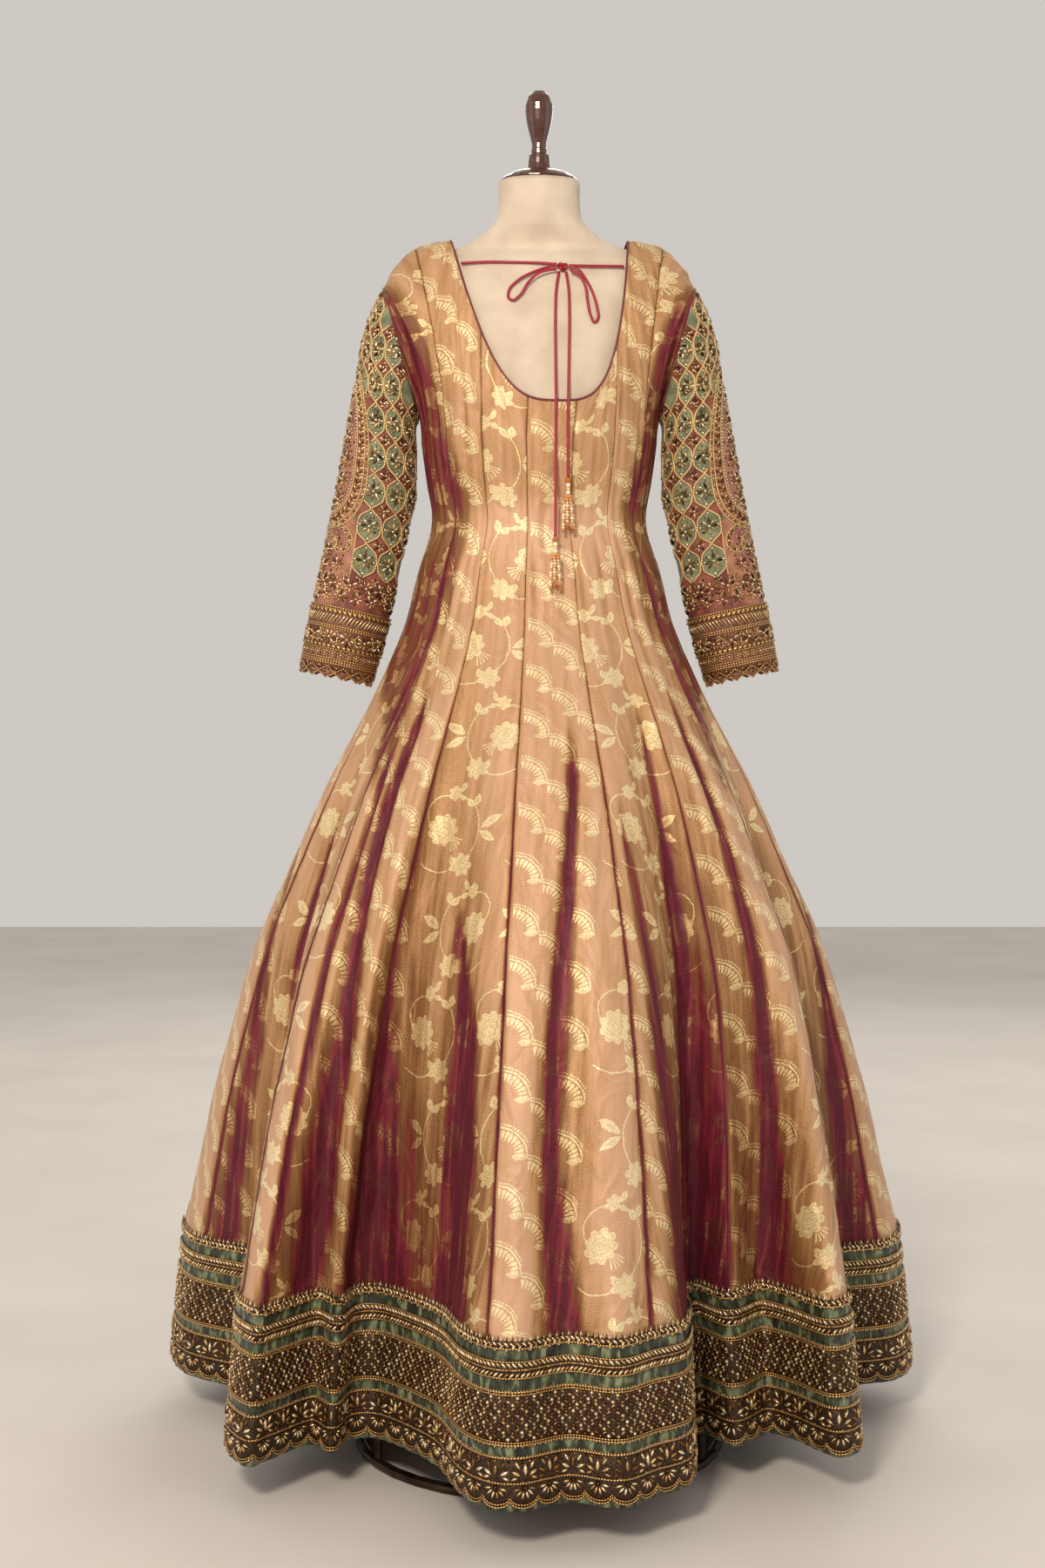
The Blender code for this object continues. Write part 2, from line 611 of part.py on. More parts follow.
def sleeve_wall(side, name, rings, lift, thick, material, collection):
    """Band of cloth round a sleeve between two or more of its rings."""
    turns = np.arange(SLEEVE_SIDES) / SLEEVE_SIDES
    grid_turn, grid_ring = np.meshgrid(turns, np.asarray(rings, float)[::-1])
    point, normal = sleeve_frame(side, grid_ring, grid_turn)
    at_armhole = -clear_of_armhole(-normal, np.full(grid_ring.shape, side))
    normal = np.where((grid_ring == 0)[..., None], at_armhole, normal)
    outer = point + normal * (lift + thick)
    inner = point + normal * lift
    order = slice(None, None, 1 if side < 0 else -1)
    wall(name, outer[:, order], inner[:, order], material, collection, ring=True)


def sleeve_frame(side, ring, turn):
    """Point on a sleeve and its outward normal."""
    across = sleeve_point(side, ring, turn + 0.005) - sleeve_point(side, ring, turn - 0.005)
    up = sleeve_point(side, ring - 0.02, turn) - sleeve_point(side, ring + 0.02, turn)
    normal = unit(np.cross(across, up)) * -side
    return sleeve_point(side, ring, turn), normal


def pointed_edge(side, name, material, collection):
    """Ring of points hanging from the sleeve's end, half as thick as the cuff."""
    count = CUFF_POINTS * 2
    turn = np.arange(count) / count
    last = float(len(SLEEVE) - 1)
    top, normal = sleeve_frame(side, last, turn)
    down = unit(sleeve_point(side, last, turn) - sleeve_point(side, last - 0.2, turn))
    depth = np.where(np.arange(count) % 2 == 0, CUFF_POINT, CUFF_POINT * 0.45)[:, None]
    rows = np.stack([top + down * depth, top + down * GAP * 1.5])
    out = np.stack([normal, normal]) * CLOTH / 2
    order = slice(None, None, 1 if side < 0 else -1)
    wall(name, (rows + out)[:, order], (rows - out)[:, order], material, collection, ring=True)


# The dori's routes, in metres: each string, bow loop and tail.
DORI_ROUTES = {
    "dori_string_left": (
        (-0.0974, -0.0480, 1.4690), (-0.0700, -0.0502, 1.4700), (-0.0300, -0.0535, 1.4690),
        (0.0040, -0.0560, 1.4675), (0.0212, -0.0575, 1.4660)),
    "dori_string_right": (
        (0.0366, -0.0575, 1.4643), (0.0600, -0.0560, 1.4640), (0.0850, -0.0518, 1.4645),
        (0.1047, -0.0480, 1.4650)),
    "dori_loop_left": (
        (0.0211, -0.0611, 1.4640), (0.0090, -0.0623, 1.4610), (-0.0050, -0.0640, 1.4560),
        (-0.0270, -0.0668, 1.4440), (-0.0375, -0.0690, 1.4320), (-0.0380, -0.0718, 1.4215),
        (-0.0330, -0.0735, 1.4185), (-0.0245, -0.0738, 1.4245), (-0.0130, -0.0708, 1.4420),
        (-0.0010, -0.0690, 1.4530), (0.0110, -0.0665, 1.4570), (0.0205, -0.0640, 1.4585)),
    "dori_loop_right": (
        (0.0365, -0.0611, 1.4622), (0.0470, -0.0633, 1.4590), (0.0560, -0.0655, 1.4480),
        (0.0660, -0.0688, 1.4280), (0.0715, -0.0715, 1.4080), (0.0722, -0.0735, 1.3960),
        (0.0680, -0.0753, 1.3910), (0.0635, -0.0750, 1.3990), (0.0590, -0.0732, 1.4190),
        (0.0560, -0.0705, 1.4380), (0.0500, -0.0675, 1.4500), (0.0380, -0.0645, 1.4575)),
    "dori_tail_left": (
        (0.0240, -0.0610, 1.4555), (0.0228, -0.0648, 1.4480), (0.0215, -0.0678, 1.4400),
        (0.0195, -0.0797, 1.4000), (0.0195, -0.0892, 1.3600), (0.0198, -0.0972, 1.3200),
        (0.0200, -0.1034, 1.2930), (0.0198, -0.1030, 1.2650), (0.0196, -0.1034, 1.2200),
        (0.0194, -0.1058, 1.1650), (0.0192, -0.1095, 1.1260)),
    "dori_tail_right": (
        (0.0330, -0.0610, 1.4555), (0.0340, -0.0648, 1.4480), (0.0352, -0.0675, 1.4400),
        (0.0368, -0.0790, 1.4000), (0.0362, -0.0880, 1.3600), (0.0355, -0.0955, 1.3200),
        (0.0350, -0.1016, 1.2930), (0.0348, -0.1011, 1.2650), (0.0350, -0.1005, 1.1990)),
}
DORI_SPACING = 0.0105
KNOT_CENTRE = (0.0287, -0.0592, 1.4625)
KNOT_HALF = (0.0075, 0.0036, 0.0065)
TASSEL_LEAN = {"left": -11.8, "right": 0.0}      # degrees; the left one rests on the skirt
TASSEL_PROFILE = (
    (0.0000, 0.0000), (0.0042, -0.0004), (0.0056, -0.0040), (0.0046, -0.0085),
    (0.0062, -0.0120), (0.0070, -0.0300), (0.0066, -0.0550), (0.0050, -0.0700),
    (0.0000, -0.0720),
)


def dori(cord, beads, collection):
    """The tie: strings, bow and tails, its knot, and a bead tassel on each tail."""
    for name, route in DORI_ROUTES.items():
        tube(name, along(route, DORI_SPACING), DORI_RADIUS, cord, collection)
    bm = bmesh.new()
    bmesh.ops.create_uvsphere(bm, u_segments=12, v_segments=8, radius=1.0)
    for vert in bm.verts:
        vert.co = [k + h * c for k, h, c in zip(KNOT_CENTRE, KNOT_HALF, vert.co)]
    mesh = bpy.data.meshes.new("dori_knot")
    bm.to_mesh(mesh)
    bm.free()
    mesh.shade_smooth()
    new_object("dori_knot", mesh, cord, collection)
    for side in ("left", "right"):
        x, y, z = DORI_ROUTES[f"dori_tail_{side}"][-1]
        obj = turned(f"tassel_{side}", TASSEL_PROFILE, beads, collection)
        obj.location = (x, y, z - 2 * GAP)
        obj.rotation_euler = (math.radians(TASSEL_LEAN[side]), 0.0, 0.0)
        obj.modifiers["turn"].steps = 12
        obj.modifiers["turn"].render_steps = 12


def dress_form(linen, wood, collection):
    """Limbless padded torso, its neck cap and the turned finial."""
    angle = np.arange(FORM_SIDES) / FORM_SIDES * 2 * np.pi
    rings = []
    for z, half, back, front in FORM:
        depth = np.where(np.cos(angle) > 0, back, front)
        ring = np.stack([half * np.sin(angle), -depth * np.cos(angle),
                         np.full(FORM_SIDES, z)], axis=1)
        rings.append(ring.tolist())
    loft("form_torso", rings, linen, collection)
    turned("neck_cap", CAP_PROFILE, wood, collection)
    turned("finial", FINIAL_PROFILE, wood, collection)


def stand(metal, collection):
    """Pole with a hub, a ring on the floor and four legs between them."""
    top = FORM_BASE_Z - GAP
    pole = ((0.0, top), (POLE_RADIUS, top), (POLE_RADIUS, HUB_TOP + 0.004),
            (HUB_RADIUS, HUB_TOP), (HUB_RADIUS, HUB_LOW),
            (POLE_RADIUS, HUB_LOW - 0.006), (POLE_RADIUS * 0.6, HUB_LOW - 0.014),
            (0.0, HUB_LOW - 0.016))
    turned("stand_pole", pole, metal, collection, axis_y=STAND_Y)
    lowest = math.cos(math.pi / RING_FACETS)
    bpy.ops.mesh.primitive_torus_add(
        major_radius=RING_RADIUS, minor_radius=RING_TUBE,
        major_segments=RING_SIDES, minor_segments=RING_FACETS,
        location=(0.0, STAND_Y, RING_TUBE * lowest))
    ring = bpy.context.object
    ring.name = "stand_ring"
    ring.data.name = "stand_ring"
    ring.data.materials.append(metal)
    shade_round(ring.data, 30)
    for owner in list(ring.users_collection):
        owner.objects.unlink(ring)
    collection.objects.link(ring)
    ring_top = RING_TUBE * (lowest + math.sin(2 * math.pi * 0.3)) + GAP
    reach = HUB_RADIUS * math.cos(math.pi / TURN_STEPS) + GAP * 3
    for index, bearing in enumerate(LEG_BEARINGS):
        c, s = math.cos(math.radians(bearing)), math.sin(math.radians(bearing))
        side_view = ((RING_RADIUS, ring_top), (RING_RADIUS, 0.040), (RING_RADIUS - 0.004, 0.075),
                     (RING_RADIUS - 0.040, 0.130), (RING_RADIUS - 0.100, 0.185),
                     (0.070, 0.216), (0.040, 0.220), (reach, 0.220))
        route = [(r * c, STAND_Y + r * s, z) for r, z in side_view]
        tube(f"stand_leg_{index}", along(route, 0.022), LEG_RADIUS, metal, collection)


def build():
    """Clear the scene and make every sub-part."""
    for obj in list(bpy.data.objects):
        bpy.data.objects.remove(obj, do_unlink=True)
    collection = bpy.data.collections.new("anarkali_gown_on_dress_form")
    bpy.context.scene.collection.children.link(collection)

    brocade = surface_finish("gold_brocade", (200, 150, 110), 0.42, 0.35)
    green = surface_finish("green_silk", (128, 150, 124), 0.45)
    zari = surface_finish("zari_trim", (150, 112, 66), 0.4, 0.6)
    sleeve_silk = surface_finish("sleeve_embroidery", (165, 125, 98), 0.5, 0.2)
    maroon = surface_finish("maroon_cord", (115, 25, 40), 0.5)
    amber = surface_finish("amber_beads", (205, 150, 85), 0.25)
    linen = surface_finish("beige_linen", (235, 215, 190), 0.85)
    wood = surface_finish("dark_wood", (60, 35, 28), 0.25)
    bronze = surface_finish("dark_bronze", (70, 58, 50), 0.4, 0.8)

    for index in range(KALIS):
        kali(index, brocade, collection)
    hem_ring("hem_band", 0.0, BAND_TOP, GAP, BAND_WALL, green, collection)
    for name, low, high in TRIMS:
        hem_ring(name, low, high, GAP * 2 + BAND_WALL, TRIM_WALL, zari, collection)
    neck_piping(maroon, collection)
    sleeve(-1.0, "left", sleeve_silk, zari, zari, collection)
    sleeve(1.0, "right", sleeve_silk, zari, zari, collection)
    dori(maroon, amber, collection)
    dress_form(linen, wood, collection)
    stand(bronze, collection)


build()
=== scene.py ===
import math
from functools import partial

import bpy
import numpy as np
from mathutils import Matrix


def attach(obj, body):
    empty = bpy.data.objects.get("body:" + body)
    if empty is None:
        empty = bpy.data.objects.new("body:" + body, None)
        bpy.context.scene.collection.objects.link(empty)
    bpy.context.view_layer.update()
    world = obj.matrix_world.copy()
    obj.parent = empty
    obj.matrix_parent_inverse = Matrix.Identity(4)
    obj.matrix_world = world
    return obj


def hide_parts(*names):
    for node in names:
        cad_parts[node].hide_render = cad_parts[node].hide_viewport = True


# An anarkali gown in two-tone silk tissue brocade, with embroidered sleeves and a
# trimmed green hem border, tied with a dori at the back and worn by a padded
# dress form on a metal stand.  Metres, +Z up; the gown's back faces -Y.

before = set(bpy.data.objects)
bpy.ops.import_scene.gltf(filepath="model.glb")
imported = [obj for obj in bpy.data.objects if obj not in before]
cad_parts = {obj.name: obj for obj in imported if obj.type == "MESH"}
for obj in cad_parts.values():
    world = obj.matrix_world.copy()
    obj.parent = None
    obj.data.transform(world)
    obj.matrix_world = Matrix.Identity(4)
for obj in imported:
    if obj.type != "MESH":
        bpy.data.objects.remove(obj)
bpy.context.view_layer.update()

MM = 0.001
TURN = 2 * np.pi
GOLDEN = 0.6180339887

# ------------------------------------------------------------------ camera
CAMERA_AT = (-0.021, -2.78, 0.93)
CAMERA_LENS = 50.0           # on a frame 36 mm high
CAMERA_PITCH = math.atan(0.04)


def placed(name, data, at=(0, 0, 0), turned=(0, 0, 0)):
    """New object in the scene, at a point and turned."""
    obj = bpy.data.objects.new(name, data)
    obj.location = at
    obj.rotation_euler = turned
    bpy.context.scene.collection.objects.link(obj)
    return obj


camera = bpy.data.cameras.new("camera")
camera.lens = CAMERA_LENS
camera.sensor_fit = "VERTICAL"
camera.sensor_height = 36.0
bpy.context.scene.camera = placed("camera", camera, CAMERA_AT, (math.pi / 2 - CAMERA_PITCH, 0, 0))


# ------------------------------------------------------- numbers to surfaces


def unit(v):
    """Vectors scaled to length one."""
    return v / np.maximum(np.linalg.norm(v, axis=-1, keepdims=True), 1e-12)


def axes(surface, u, v, du, dv):
    """Across, up and outward directions of a surface at (u, v), from the points a
    step to each side."""
    across = unit(surface(u + du, v) - surface(u - du, v))
    rise = surface(u, v + dv) - surface(u, v - dv)
    out = unit(np.cross(across, rise))
    return across, np.cross(out, across), out


def bell(x):
    """Soft hump of height one: exp(-x^2)."""
    return np.exp(-x ** 2)


def smooth(xs, ys, x):
    """Cubic through the table (xs ascending, ys one or more columns) at x."""
    x = np.clip(x, xs[0], xs[-1])
    slopes = np.gradient(ys, xs, axis=0)
    i = np.clip(np.searchsorted(xs, x, side="right") - 1, 0, len(xs) - 2)
    width = xs[i + 1] - xs[i]
    t = (x - xs[i]) / width
    t, width = t[..., None], width[..., None]
    rise, fall = slopes[i] * width, slopes[i + 1] * width
    return (ys[i] * (1 + 2 * t) * (1 - t) ** 2 + rise * t * (1 - t) ** 2
            + ys[i + 1] * t * t * (3 - 2 * t) + fall * t * t * (t - 1))


def run_along(points, axis=0):
    """Length of a chain of points up to each of them."""
    steps = np.linalg.norm(np.diff(points, axis=axis), axis=-1)
    start = np.zeros_like(np.take(steps, [0], axis=axis))
    return np.concatenate([start, np.cumsum(steps, axis=axis)], axis=axis)


def along(route, spacing):
    """Evenly spaced points on a smooth curve through the route's own points."""
    route = np.asarray(route, float)
    chord = run_along(route)
    fine = smooth(chord, route, np.linspace(0, chord[-1], 400))
    length = run_along(fine)
    count = max(2, int(round(length[-1] / spacing)) + 1)
    at = np.linspace(0, length[-1], count)
    return np.stack([np.interp(at, length, fine[:, k]) for k in range(3)], axis=1)


def grid_faces(rows, cols, first=0, wrap=False):
    """Quads of a grid whose points run by row, facing outwards when rows run up
    and columns run to the right as seen from outside."""
    index = first + np.arange(rows * cols).reshape(rows, cols)
    if wrap:
        index = np.concatenate([index, index[:, :1]], axis=1)
    return np.stack([index[:-1, :-1], index[:-1, 1:], index[1:, 1:], index[1:, :-1]],
                    axis=-1).reshape(-1, 4)


def fans(cols, low_row, low, high_row, high):
    """Triangles that close a wrapped grid: its first row, from index low_row, to
    the point low, and its last one to the point high; a last index is repeated."""
    k = np.arange(cols)
    after = (k + 1) % cols
    under, over = np.full(cols, low), np.full(cols, high)
    return [np.stack([under, after + low_row, k + low_row, k + low_row], axis=1),
            np.stack([k + high_row, after + high_row, over, over], axis=1)]


def piece(name, points, faces, material, uv=None, values=None, smooth_shade=True,
          mirror=False):
    """One mesh object that rides on the model: points, quads or triangles (a
    repeated last index), per-point UV in metres and per-point named values.  A
    mirrored piece has its x negated and each face's order turned round."""
    points = np.ascontiguousarray(points.reshape(-1, 3), dtype=np.float32)
    if mirror:
        points, faces = points * np.float32((-1, 1, 1)), faces[:, [1, 0, 3, 2]]
    three = faces[:, 3] == faces[:, 2]
    loops = np.concatenate([faces[~three].ravel(), faces[three][:, :3].ravel()]).astype(np.int32)
    sizes = np.repeat((4, 3), ((~three).sum(), three.sum()))
    mesh = bpy.data.meshes.new(name)
    mesh.vertices.add(len(points))
    mesh.vertices.foreach_set("co", points.ravel())
    mesh.loops.add(len(loops))
    mesh.loops.foreach_set("vertex_index", loops)
    mesh.polygons.add(len(sizes))
    mesh.polygons.foreach_set("loop_start", (np.cumsum(sizes) - sizes).astype(np.int32))
    mesh.update(calc_edges=True)
    if uv is not None:
        layer = mesh.uv_layers.new(name="cloth")
        layer.data.foreach_set("uv", uv.reshape(-1, 2)[loops].astype(np.float32).ravel())
    for key, value in (values or {}).items():
        attribute = mesh.attributes.new(key, "FLOAT", "POINT")
        attribute.data.foreach_set("value", value.astype(np.float32).ravel())
    mesh.validate()
    if smooth_shade:
        mesh.shade_smooth()
    mesh.materials.append(material)
    obj = placed(name, mesh)
    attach(obj, "root")
    return obj


def shell(name, outer, normals, thick, material, uv, values=None, wrap=False, mirror=False):
    """Thin cloth: the outer grid, the same grid moved in by its thickness, and
    the rims between them."""
    rows, cols = outer.shape[:2]
    half = rows * cols
    low = np.arange(cols if wrap else cols - 1)
    after = (low + 1) % cols
    top = (rows - 1) * cols
    rims = [(low, low + half, after + half, after),
            (low + top, after + top, after + top + half, low + top + half)]
    if not wrap:
        left = np.arange(rows - 1) * cols
        right = left + cols - 1
        rims += [(left, left + cols, left + cols + half, left + half),
                 (right, right + half, right + cols + half, right + cols)]
    faces = [grid_faces(rows, cols, 0, wrap), grid_faces(rows, cols, half, wrap)[:, ::-1]]
    faces += [np.stack(rim, axis=1) for rim in rims]
    points = np.stack([outer, outer - normals * thick])
    both = {key: np.tile(value.ravel(), 2) for key, value in (values or {}).items()}
    return piece(name, points, np.concatenate(faces), material,
                 np.tile(uv.reshape(-1, 2), (2, 1)), both, mirror=mirror)


def cords(paths, normals, radius, sides=6, closed=False, twist=0.0):
    """Tubes along many paths at once, paths (count, points, 3).

    Round each path point stand the tube's own points, at radius along the
    cloth's normal and across it.  Returns points, faces and UV.
    """
    if closed:
        tangent = unit(np.roll(paths, -1, axis=1) - np.roll(paths, 1, axis=1))
    else:
        tangent = unit(np.gradient(paths, axis=1))
    side = unit(np.cross(tangent, normals))
    up = np.cross(side, tangent)
    turn = np.arange(sides) / sides * TURN + twist
    radius = np.broadcast_to(np.asarray(radius, float), paths.shape[:2])[..., None, None]
    ring = (paths[:, :, None] + radius * (np.cos(turn)[:, None] * side[:, :, None]
                                          + np.sin(turn)[:, None] * up[:, :, None]))
    count, steps = paths.shape[:2]
    index = np.arange(count * steps * sides).reshape(count, steps, sides)
    if closed:
        index = np.concatenate([index, index[:, :1]], axis=1)
    right = np.roll(index, -1, axis=2)
    faces = [np.stack([index[:, :-1], right[:, :-1], right[:, 1:], index[:, 1:]],
                      axis=-1).reshape(-1, 4)]
    for disc in () if closed else (index[:, 0, ::-1], index[:, -1]):
        faces += [disc[:, [0, k, k + 1, k + 1]] for k in range(1, sides - 1)]
    uv = np.stack(np.broadcast_arrays(turn / TURN * 0.01, run_along(paths, 1)[:, :, None]),
                  axis=-1)
    return ring.reshape(-1, 3), np.concatenate(faces), uv.reshape(-1, 2)


def stamped(shape, faces, origin, across, up, normal, size=1.0):
    """Copies of one small shape, set on each origin with its own axes.

    shape (points, 3) is in its own across, up and normal, scaled by size.
    """
    size = np.broadcast_to(np.asarray(size, float), origin.shape[:1])[:, None, None]
    points = origin[:, None] + size * (shape[None, :, :1] * across[:, None]
                                       + shape[None, :, 1:2] * up[:, None]
                                       + shape[None, :, 2:] * normal[:, None])
    first = np.arange(len(origin))[:, None, None] * len(shape)
    return points.reshape(-1, 3), (faces[None] + first).reshape(-1, 4)


def merged(parts):
    """Several (points, faces, ...) sets as one; further arrays are stacked too."""
    points, faces, *rest = zip(*parts)
    first = np.cumsum([0] + [len(p) for p in points[:-1]])
    faces = [f + start for f, start in zip(faces, first)]
    return [np.concatenate(arrays) for arrays in (points, faces, *rest)]


# -------------------------------------------------------------- finishes


def colour(hex_code):
    """Linear colour from an sRGB hex value."""
    channels = [int(hex_code[i:i + 2], 16) / 255 for i in (1, 3, 5)]
    return (*[c / 12.92 if c <= 0.04045 else ((c + 0.055) / 1.055) ** 2.4 for c in channels], 1.0)


def feed(node, inputs):
    """Numbers, colours, sockets or nodes (their first output in use) into a
    node's inputs, each at its place among those in use or by its name."""
    open_inputs = [socket for socket in node.inputs if socket.enabled]
    for key, value in inputs.items():
        socket = open_inputs[key] if isinstance(key, int) else node.inputs[key.replace("_", " ")]
        if isinstance(value, bpy.types.Node):
            value = next(output for output in value.outputs if output.enabled)
        if isinstance(value, bpy.types.NodeSocket):
            node.id_data.links.new(value, socket)
        else:
            socket.default_value = value


def add(tree, kind, *inputs, stops=(), **settings):
    """One node.  A kind all in capitals is a Math node's operation, and another
    node's operation follows its kind after a dot.  Settings that start with a
    capital are inputs.  A colour ramp gets its stops as positions, each with a
    level or an sRGB hex value."""
    if kind.isupper():
        kind = "Math." + kind
    kind, _, operation = kind.partition(".")
    node = tree.nodes.new("ShaderNode" + kind)
    if operation:
        node.operation = operation
    named = {key: settings.pop(key) for key in list(settings) if key[0].isupper()}
    for key, value in settings.items():
        setattr(node, key, value)
    feed(node, dict(enumerate(inputs)) | named)
    for index, (position, level) in enumerate(stops):
        elements = node.color_ramp.elements
        element = elements[index] if index < len(elements) else elements.new(position)
        element.position = position
        element.color = colour(level) if isinstance(level, str) else (level, level, level, 1.0)
    return node


def finish(name, **settings):
    """New material with its shader's constant settings; gives material, the
    function that adds a node to it, and the shader."""
    material = bpy.data.materials.new(name)
    material.use_nodes = True
    shader = material.node_tree.nodes["Principled BSDF"]
    feed(shader, settings)
    return material, partial(add, material.node_tree), shader


# The weave in mm: its repeat across, of which the garlands take a strip and the
# vines' three columns the rest, and the half repeat of a vine, as wide as it is high.
REPEAT, GARLAND_STRIP, VINE = 465, 105, 120
# Leaves of the vine in one half repeat, from its middle (right, up): centre, half
# length, half width, turn in degrees.
VINE_LEAVES = (
    (-35, 9, 15, 6.2, 149), (-33, -9, 14, 5.2, 212), (-11, 37, 7.5, 5, 100), (-1, 33, 7.5, 4.6, 40),
    (11, 40, 6.5, 3.4, 25), (12, 53, 7.5, 3.6, 112), (16, -38, 7.5, 4.2, 62), (13, -47, 7.5, 4.2, -12),
)
# Flowers: centre, radius, number of lobes, depth of the lobes.
VINE_FLOWERS = ((34, 0, 18.5, 9, 4.5), (24, 45.5, 8.6, 6, 2.6), (1, -43, 13, 7, 4.5))


def leaf_edge(node, spot, x, y, long, wide, angle=0):
    """Pointed leaf on the cloth: along^2 + |beside|, both in half sizes, is 0 in
    its middle and 1 on its edge.  Gives that sum and |beside|."""
    place = node("Mapping", spot, (x, y, 0), (0, 0, math.radians(angle)), (long, wide, 1),
                 vector_type="TEXTURE")
    reach, beside, _ = node("SeparateXYZ", place).outputs
    beside = node("ABSOLUTE", beside)
    return node("ADD", node("MULTIPLY", reach, reach), beside), beside


def polar(node, spot, x, y):
    """Distance and turn of a spot on the cloth from a point of it."""
    way = node("VectorMath.SUBTRACT", spot, (x, y, 0))
    right, up, _ = node("SeparateXYZ", way).outputs
    return node("VectorMath.LENGTH", way), node("ARCTAN2", up, right)


def shot_brocade():
    """Shot silk tissue brocade: a magenta-maroon warp crossed by a flat rose-gold
    zari weft, with pale gold garlands and vines floated on top.

    The gold weft and the maroon warp are the cloth's own colours, but how much of
    each shows is painted on: a value on each point of the cloth carries a painted
    sheen where the cloth faces out and painted shade where it turns away.  Its sizes are in mm.
    The thread is far finer than that, so its ribs are drawn at 1.6 mm to show.
    """
    material, node, shader = finish("shot_silk_tissue_brocade", Specular_IOR_Level=0.3,
                                    Sheen_Weight=0.06, Sheen_Roughness=0.35,
                                    Sheen_Tint=colour("#E9B68C"))
    place = node("VectorMath.MULTIPLY", node("UVMap", uv_map="cloth"), (1000, 1000, 0))
    # the loom's own unevenness sways every outline by about a millimetre
    sway = node("TexNoise", place, Scale=0.16, Detail=1).outputs["Color"]
    sway = node("VectorMath.MULTIPLY_ADD", sway, (3, 3, 0), (-1.5, -1.5, 0))
    across, height, _ = node("SeparateXYZ", node("VectorMath.ADD", place, sway)).outputs
    across = node("WRAP", across, REPEAT, 0)

    # garlands: chains of quarter arcs stepping down to the right, each with a thin
    # ring, petals inside and outside it, and a ribbed leaf in its lap
    inset = node("SUBTRACT", across, 4.5)
    arc = node("FLOOR", node("DIVIDE", inset, 32))
    arc_x = node("WRAP", inset, 32, 0)
    arc_y = node("WRAP", node("MULTIPLY_ADD", arc, 33, height), 58, -5)
    spot = node("CombineXYZ", arc_x, arc_y)
    share = node("DIVIDE", node("VectorMath.LENGTH", spot), 40)
    rings = node("ValToRGB", share, stops=((0, 0), (0.765, 0), (0.78, 1), (0.815, 1), (0.83, 0)))
    wide = node("ValToRGB", share, stops=(
        (0, 0), (0.46, 0), (0.50, 0.35), (0.66, 0.82), (0.715, 0.75), (0.735, 0),
        (0.855, 0), (0.865, 0.6), (0.91, 0.6), (0.92, 0)))
    count = node("MULTIPLY_ADD", node("GREATER_THAN", share, 0.8), 9, 8)
    phase = node("MULTIPLY", node("ARCTAN2", arc_y, arc_x), count)
    cell = node("FRACT", node("MULTIPLY", phase, 2 / math.pi))
    off = node("ABSOLUTE", node("SUBTRACT", cell, 0.5))
    drops = node("GREATER_THAN", node("MULTIPLY", wide, 0.5), off)
    lines = node("MULTIPLY", node("MAXIMUM", rings, drops), node("GREATER_THAN", arc_y, 0))
    edge, lift = leaf_edge(node, spot, 23, 0.5, 9, 4.2)
    bone = node("MULTIPLY", node("MULTIPLY_ADD", lift, 9, arc_x), 2)
    bone = node("GREATER_THAN", node("SINE", bone), -0.55)
    body = node("MULTIPLY", node("LESS_THAN", edge, 1), bone)
    garland = node("MULTIPLY", node("MAXIMUM", lines, body), node("COMPARE", inset, 48, 48))

    # vines: each half repeat is the mirror of the one above
    vine_x = node("WRAP", node("SUBTRACT", across, GARLAND_STRIP), VINE, 0)
    vine_x = node("SUBTRACT", vine_x, VINE / 2)
    halves = node("ADD", height, VINE / 2)
    vine_y = node("SUBTRACT", node("WRAP", halves, VINE, 0), VINE / 2)
    parity = node("GREATER_THAN", node("WRAP", halves, 2 * VINE, 0), VINE)
    vine_x = node("MULTIPLY", vine_x, node("MULTIPLY_ADD", parity, -2, 1))
    spot = node("CombineXYZ", vine_x, vine_y)
    leaves, blooms = 0, 0
    for leaf in VINE_LEAVES:
        inner = node("SUBTRACT", 1, leaf_edge(node, spot, *leaf)[0])
        leaves = node("MAXIMUM", leaves, inner)
    leaves = node("ValToRGB", leaves, stops=((0, 0), (0.05, 1), (0.72, 1), (0.84, 0.55)))
    for x, y, size, lobes, depth in VINE_FLOWERS:
        distance, turn = polar(node, spot, x, y)
        wave = node("ABSOLUTE", node("SINE", node("MULTIPLY", turn, lobes / 2)))
        rim = node("MULTIPLY_ADD", wave, depth, size - depth * 0.6)
        tone = node("ValToRGB", node("DIVIDE", distance, rim), stops=(
            (0, 1), (0.14, 1), (0.19, 0.35), (0.25, 0.9), (0.44, 0.9), (0.50, 0.4),
            (0.56, 0.95), (0.78, 0.95), (0.83, 0.45), (0.88, 1), (0.97, 1), (1, 0)))
        blooms = node("MAXIMUM", blooms, tone)
